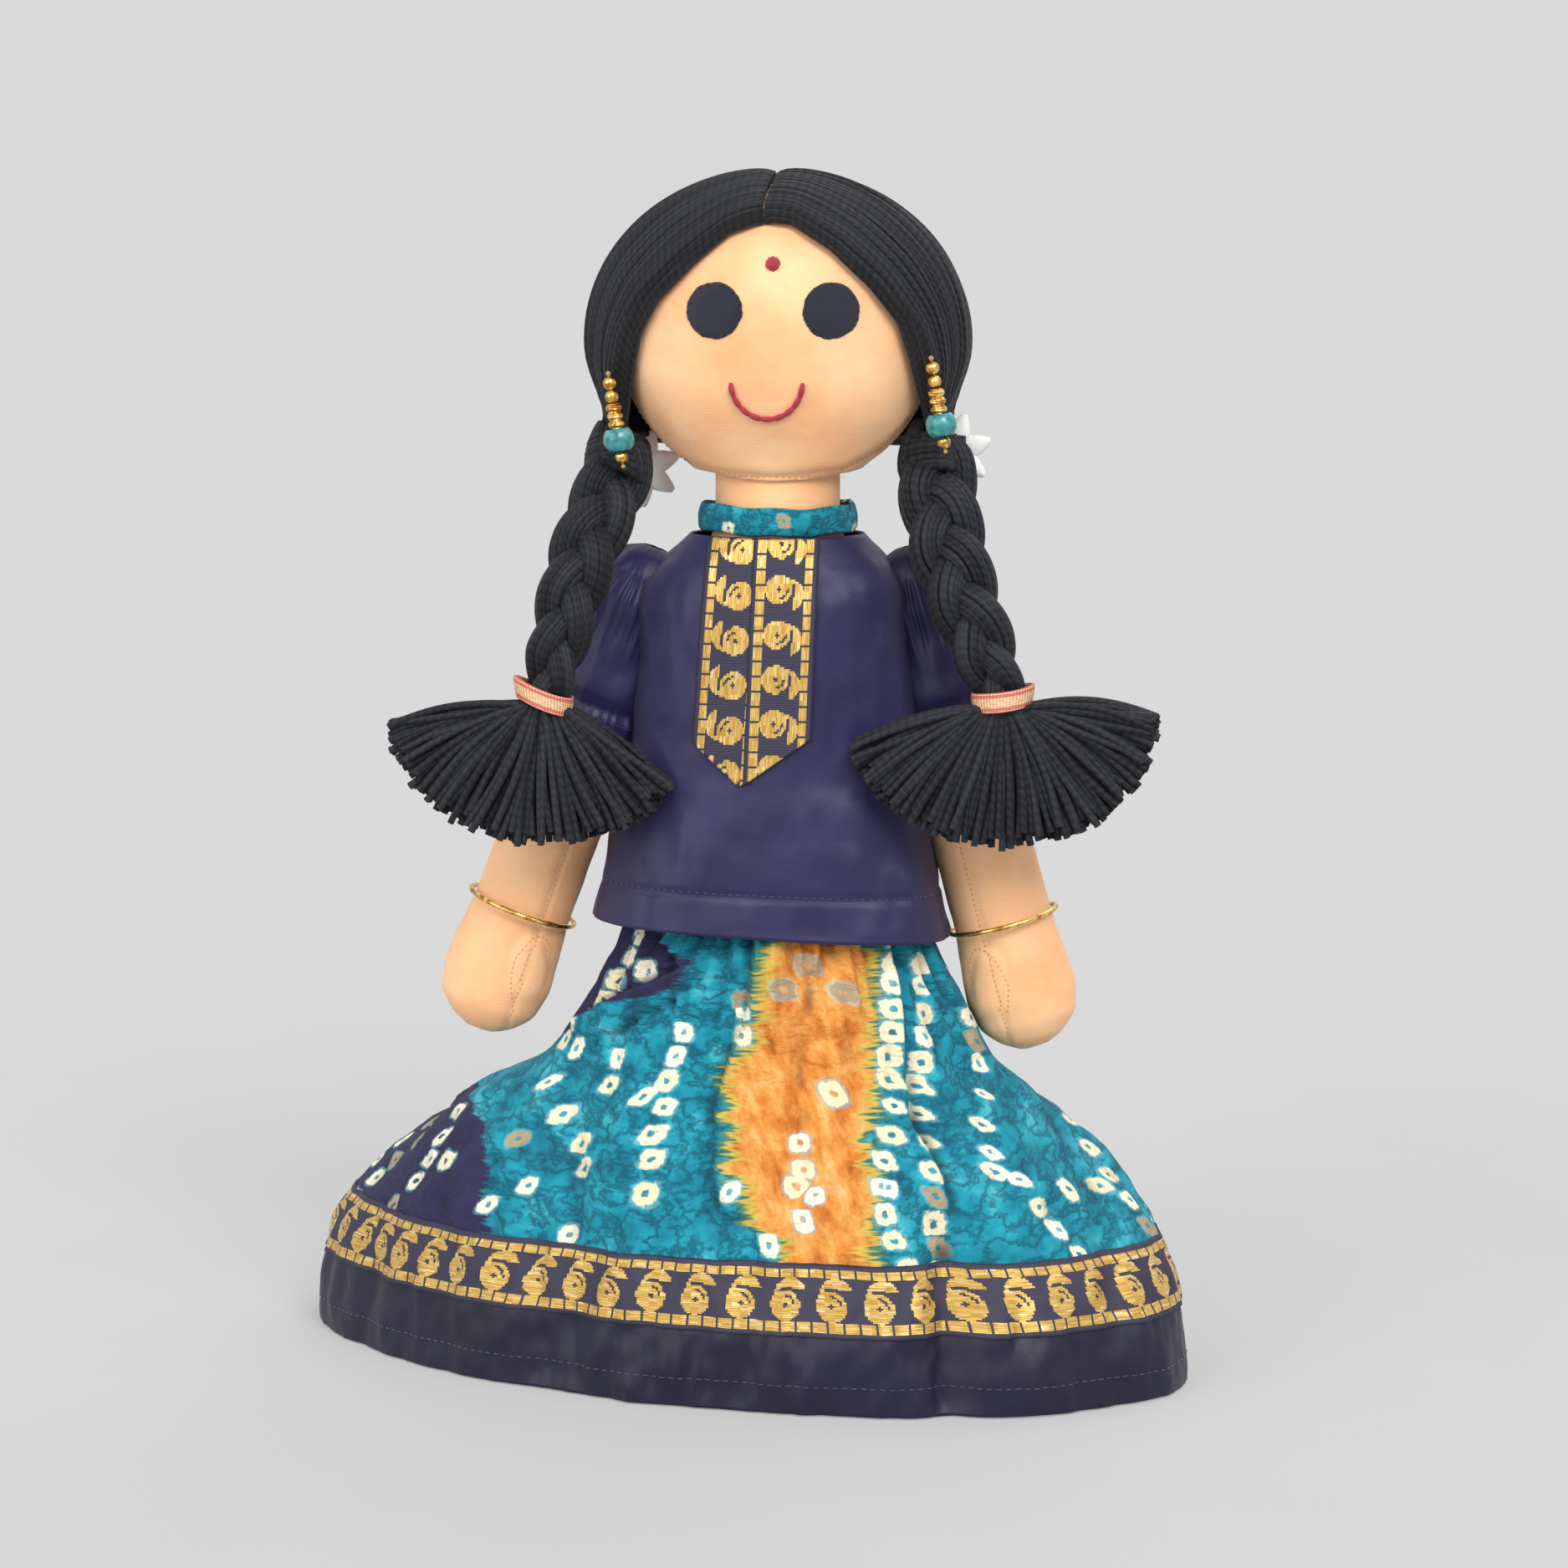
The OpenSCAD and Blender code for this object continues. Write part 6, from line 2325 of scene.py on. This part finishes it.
@dataclass
class Flower:
    """White cotton petals behind each braid."""

    side: Side
    petals: int = 7

    def build(self, shop: Shop) -> None:
        """Build and dress the petals."""
        node = f"flower_{self.side.word}"
        low, high = (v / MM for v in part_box(node))
        middle = (low + high) / 2
        reach = (high.x - low.x) / 2 + 0.9
        rng = random.Random(3)
        pieces = []
        for k in range(self.petals):
            turn = math.tau * k / self.petals + 0.35 + rng.uniform(-0.08, 0.08)
            along = np.array([math.cos(turn), 0, math.sin(turn)])
            across = np.array([-math.sin(turn), 0, math.cos(turn)])
            rows, columns = 18, 11
            t = np.linspace(0, 1, rows)[:, None]
            s = np.linspace(-1, 1, columns)[None]
            half = 3.3 * np.sin(np.pi * np.clip(t, 0, 1) ** 0.8) ** 0.75 * (1 - 0.35 * t) + 0.25
            cup = -1.3 * np.sin(np.pi * t) + 0.8 * s**2 - 0.5 * (k % 2)
            p = np.array(middle)[None, None] + along * (
                1.0 + t * (reach - 1.0)
            )[..., None] + across * (half * s)[..., None]
            p = p + np.array([0, 1, 0]) * cup[..., None]
            pieces.append(Grid(p, False).shell(f"{node}_petal_{k}", 0.45))
        merged = join(node + "_petals", pieces)
        dress(merged, "head", shop.finish.white, "white_cotton", node)


def join(name: str, pieces: Sequence[bpy.types.Object]) -> bpy.types.Object:
    """Merge objects into one mesh."""
    verts: list[tuple] = []
    faces: list[list[int]] = []
    for piece in pieces:
        base = len(verts)
        verts += [tuple(v.co) for v in piece.data.vertices]
        faces += [[base + i for i in p.vertices] for p in piece.data.polygons]
        bpy.data.objects.remove(piece)
    mesh = bpy.data.meshes.new(name)
    mesh.from_pydata(verts, [], faces)
    mesh.shade_smooth()
    return show(name, mesh)


@dataclass
class Trim:
    """The finishes of the earrings' metal, beads and threads."""

    def build(self, shop: Shop) -> None:
        """Dress the CAD nodes that keep their own shape."""
        given = {
            "thread": shop.finish.cord, "gold": shop.finish.gold, "tube": shop.finish.tube, "teal": shop.finish.bead
        }
        for side in Side:
            for word, finish in given.items():
                node = frame["nodes"][f"earring_{side.word}_{word}"]
                node.data.materials.clear()
                node.data.materials.append(finish)
                node.data.shade_smooth()


# ---- Stage ----


@dataclass
class Studio:
    """Floor, light and camera."""

    distance: float = 1.3
    rise: float = 0.33
    aside: float = 0.00175
    pitch: float = 7.36
    turn: float = 2.5
    lens: float = 106.08

    def camera(self) -> None:
        """Set up the camera first."""
        data = bpy.data.cameras.new("camera")
        data.lens = self.lens
        data.sensor_width = 36.0
        data.clip_end = 20.0
        eye = bpy.data.objects.new("camera", data)
        turn = math.radians(self.turn)
        eye.location = Matrix.Rotation(turn, 3, "Z") @ Vector((self.aside, -self.distance, self.rise))
        eye.rotation_euler = (math.radians(90 - self.pitch), 0, turn)
        bpy.context.scene.collection.objects.link(eye)
        bpy.context.scene.camera = eye

    def floor(self, finish: bpy.types.Material) -> None:
        """Lay a wide pale floor."""
        turn = math.tau * np.arange(96) / 96
        ring = [(14 * math.cos(t), 14 * math.sin(t), 0.0) for t in turn]
        mesh = bpy.data.meshes.new("floor")
        mesh.from_pydata(ring, [], [list(range(96))])
        floor = show("floor", mesh)
        mesh.materials.append(finish)

    def light(self) -> None:
        """Place soft lamps and the grey surround."""
        world = bpy.data.worlds.new("studio")
        world.use_nodes = True
        back = world.node_tree.nodes["Background"]
        back.inputs["Color"].default_value = dye(217, 217, 217)
        back.inputs["Strength"].default_value = 1.0
        bpy.context.scene.world = world
        for name, soft, strength, place in (
            ("key", 34, 2.2, (0.55, -1.35, 1.25)),
            ("fill", 50, 1.2, (-1.2, -1.2, 0.55)),
            ("rim", 50, 0.6, (0.5, 1.3, 1.5)),
        ):
            data = bpy.data.lights.new(name, "SUN")
            data.angle = math.radians(soft)
            data.energy = strength
            lamp = bpy.data.objects.new(name, data)
            lamp.rotation_euler = (-Vector(place)).to_track_quat("-Z", "Y").to_euler()
            bpy.context.scene.collection.objects.link(lamp)
        bpy.context.scene.view_settings.view_transform = "Standard"


def main() -> None:
    """Build the doll."""
    logging.basicConfig(level=logging.INFO, format="%(message)s")
    studio = Studio()
    studio.camera()
    shop = Shop()
    Trunk().build(shop)
    for side in Side:
        Arm(side).build(shop)
    Head().build(shop)
    Skirt().build(shop)
    Tunic().build(shop)
    Hair().build(shop)
    for side in Side:
        Braid(side).build(shop)
        Flower(side).build(shop)
    Trim().build(shop)
    studio.floor(shop.finish.ground)
    studio.light()


def sizes() -> None:
    """Update the view layer."""
    bpy.context.view_layer.update()


if __name__ == "__main__":
    main()
    sizes()
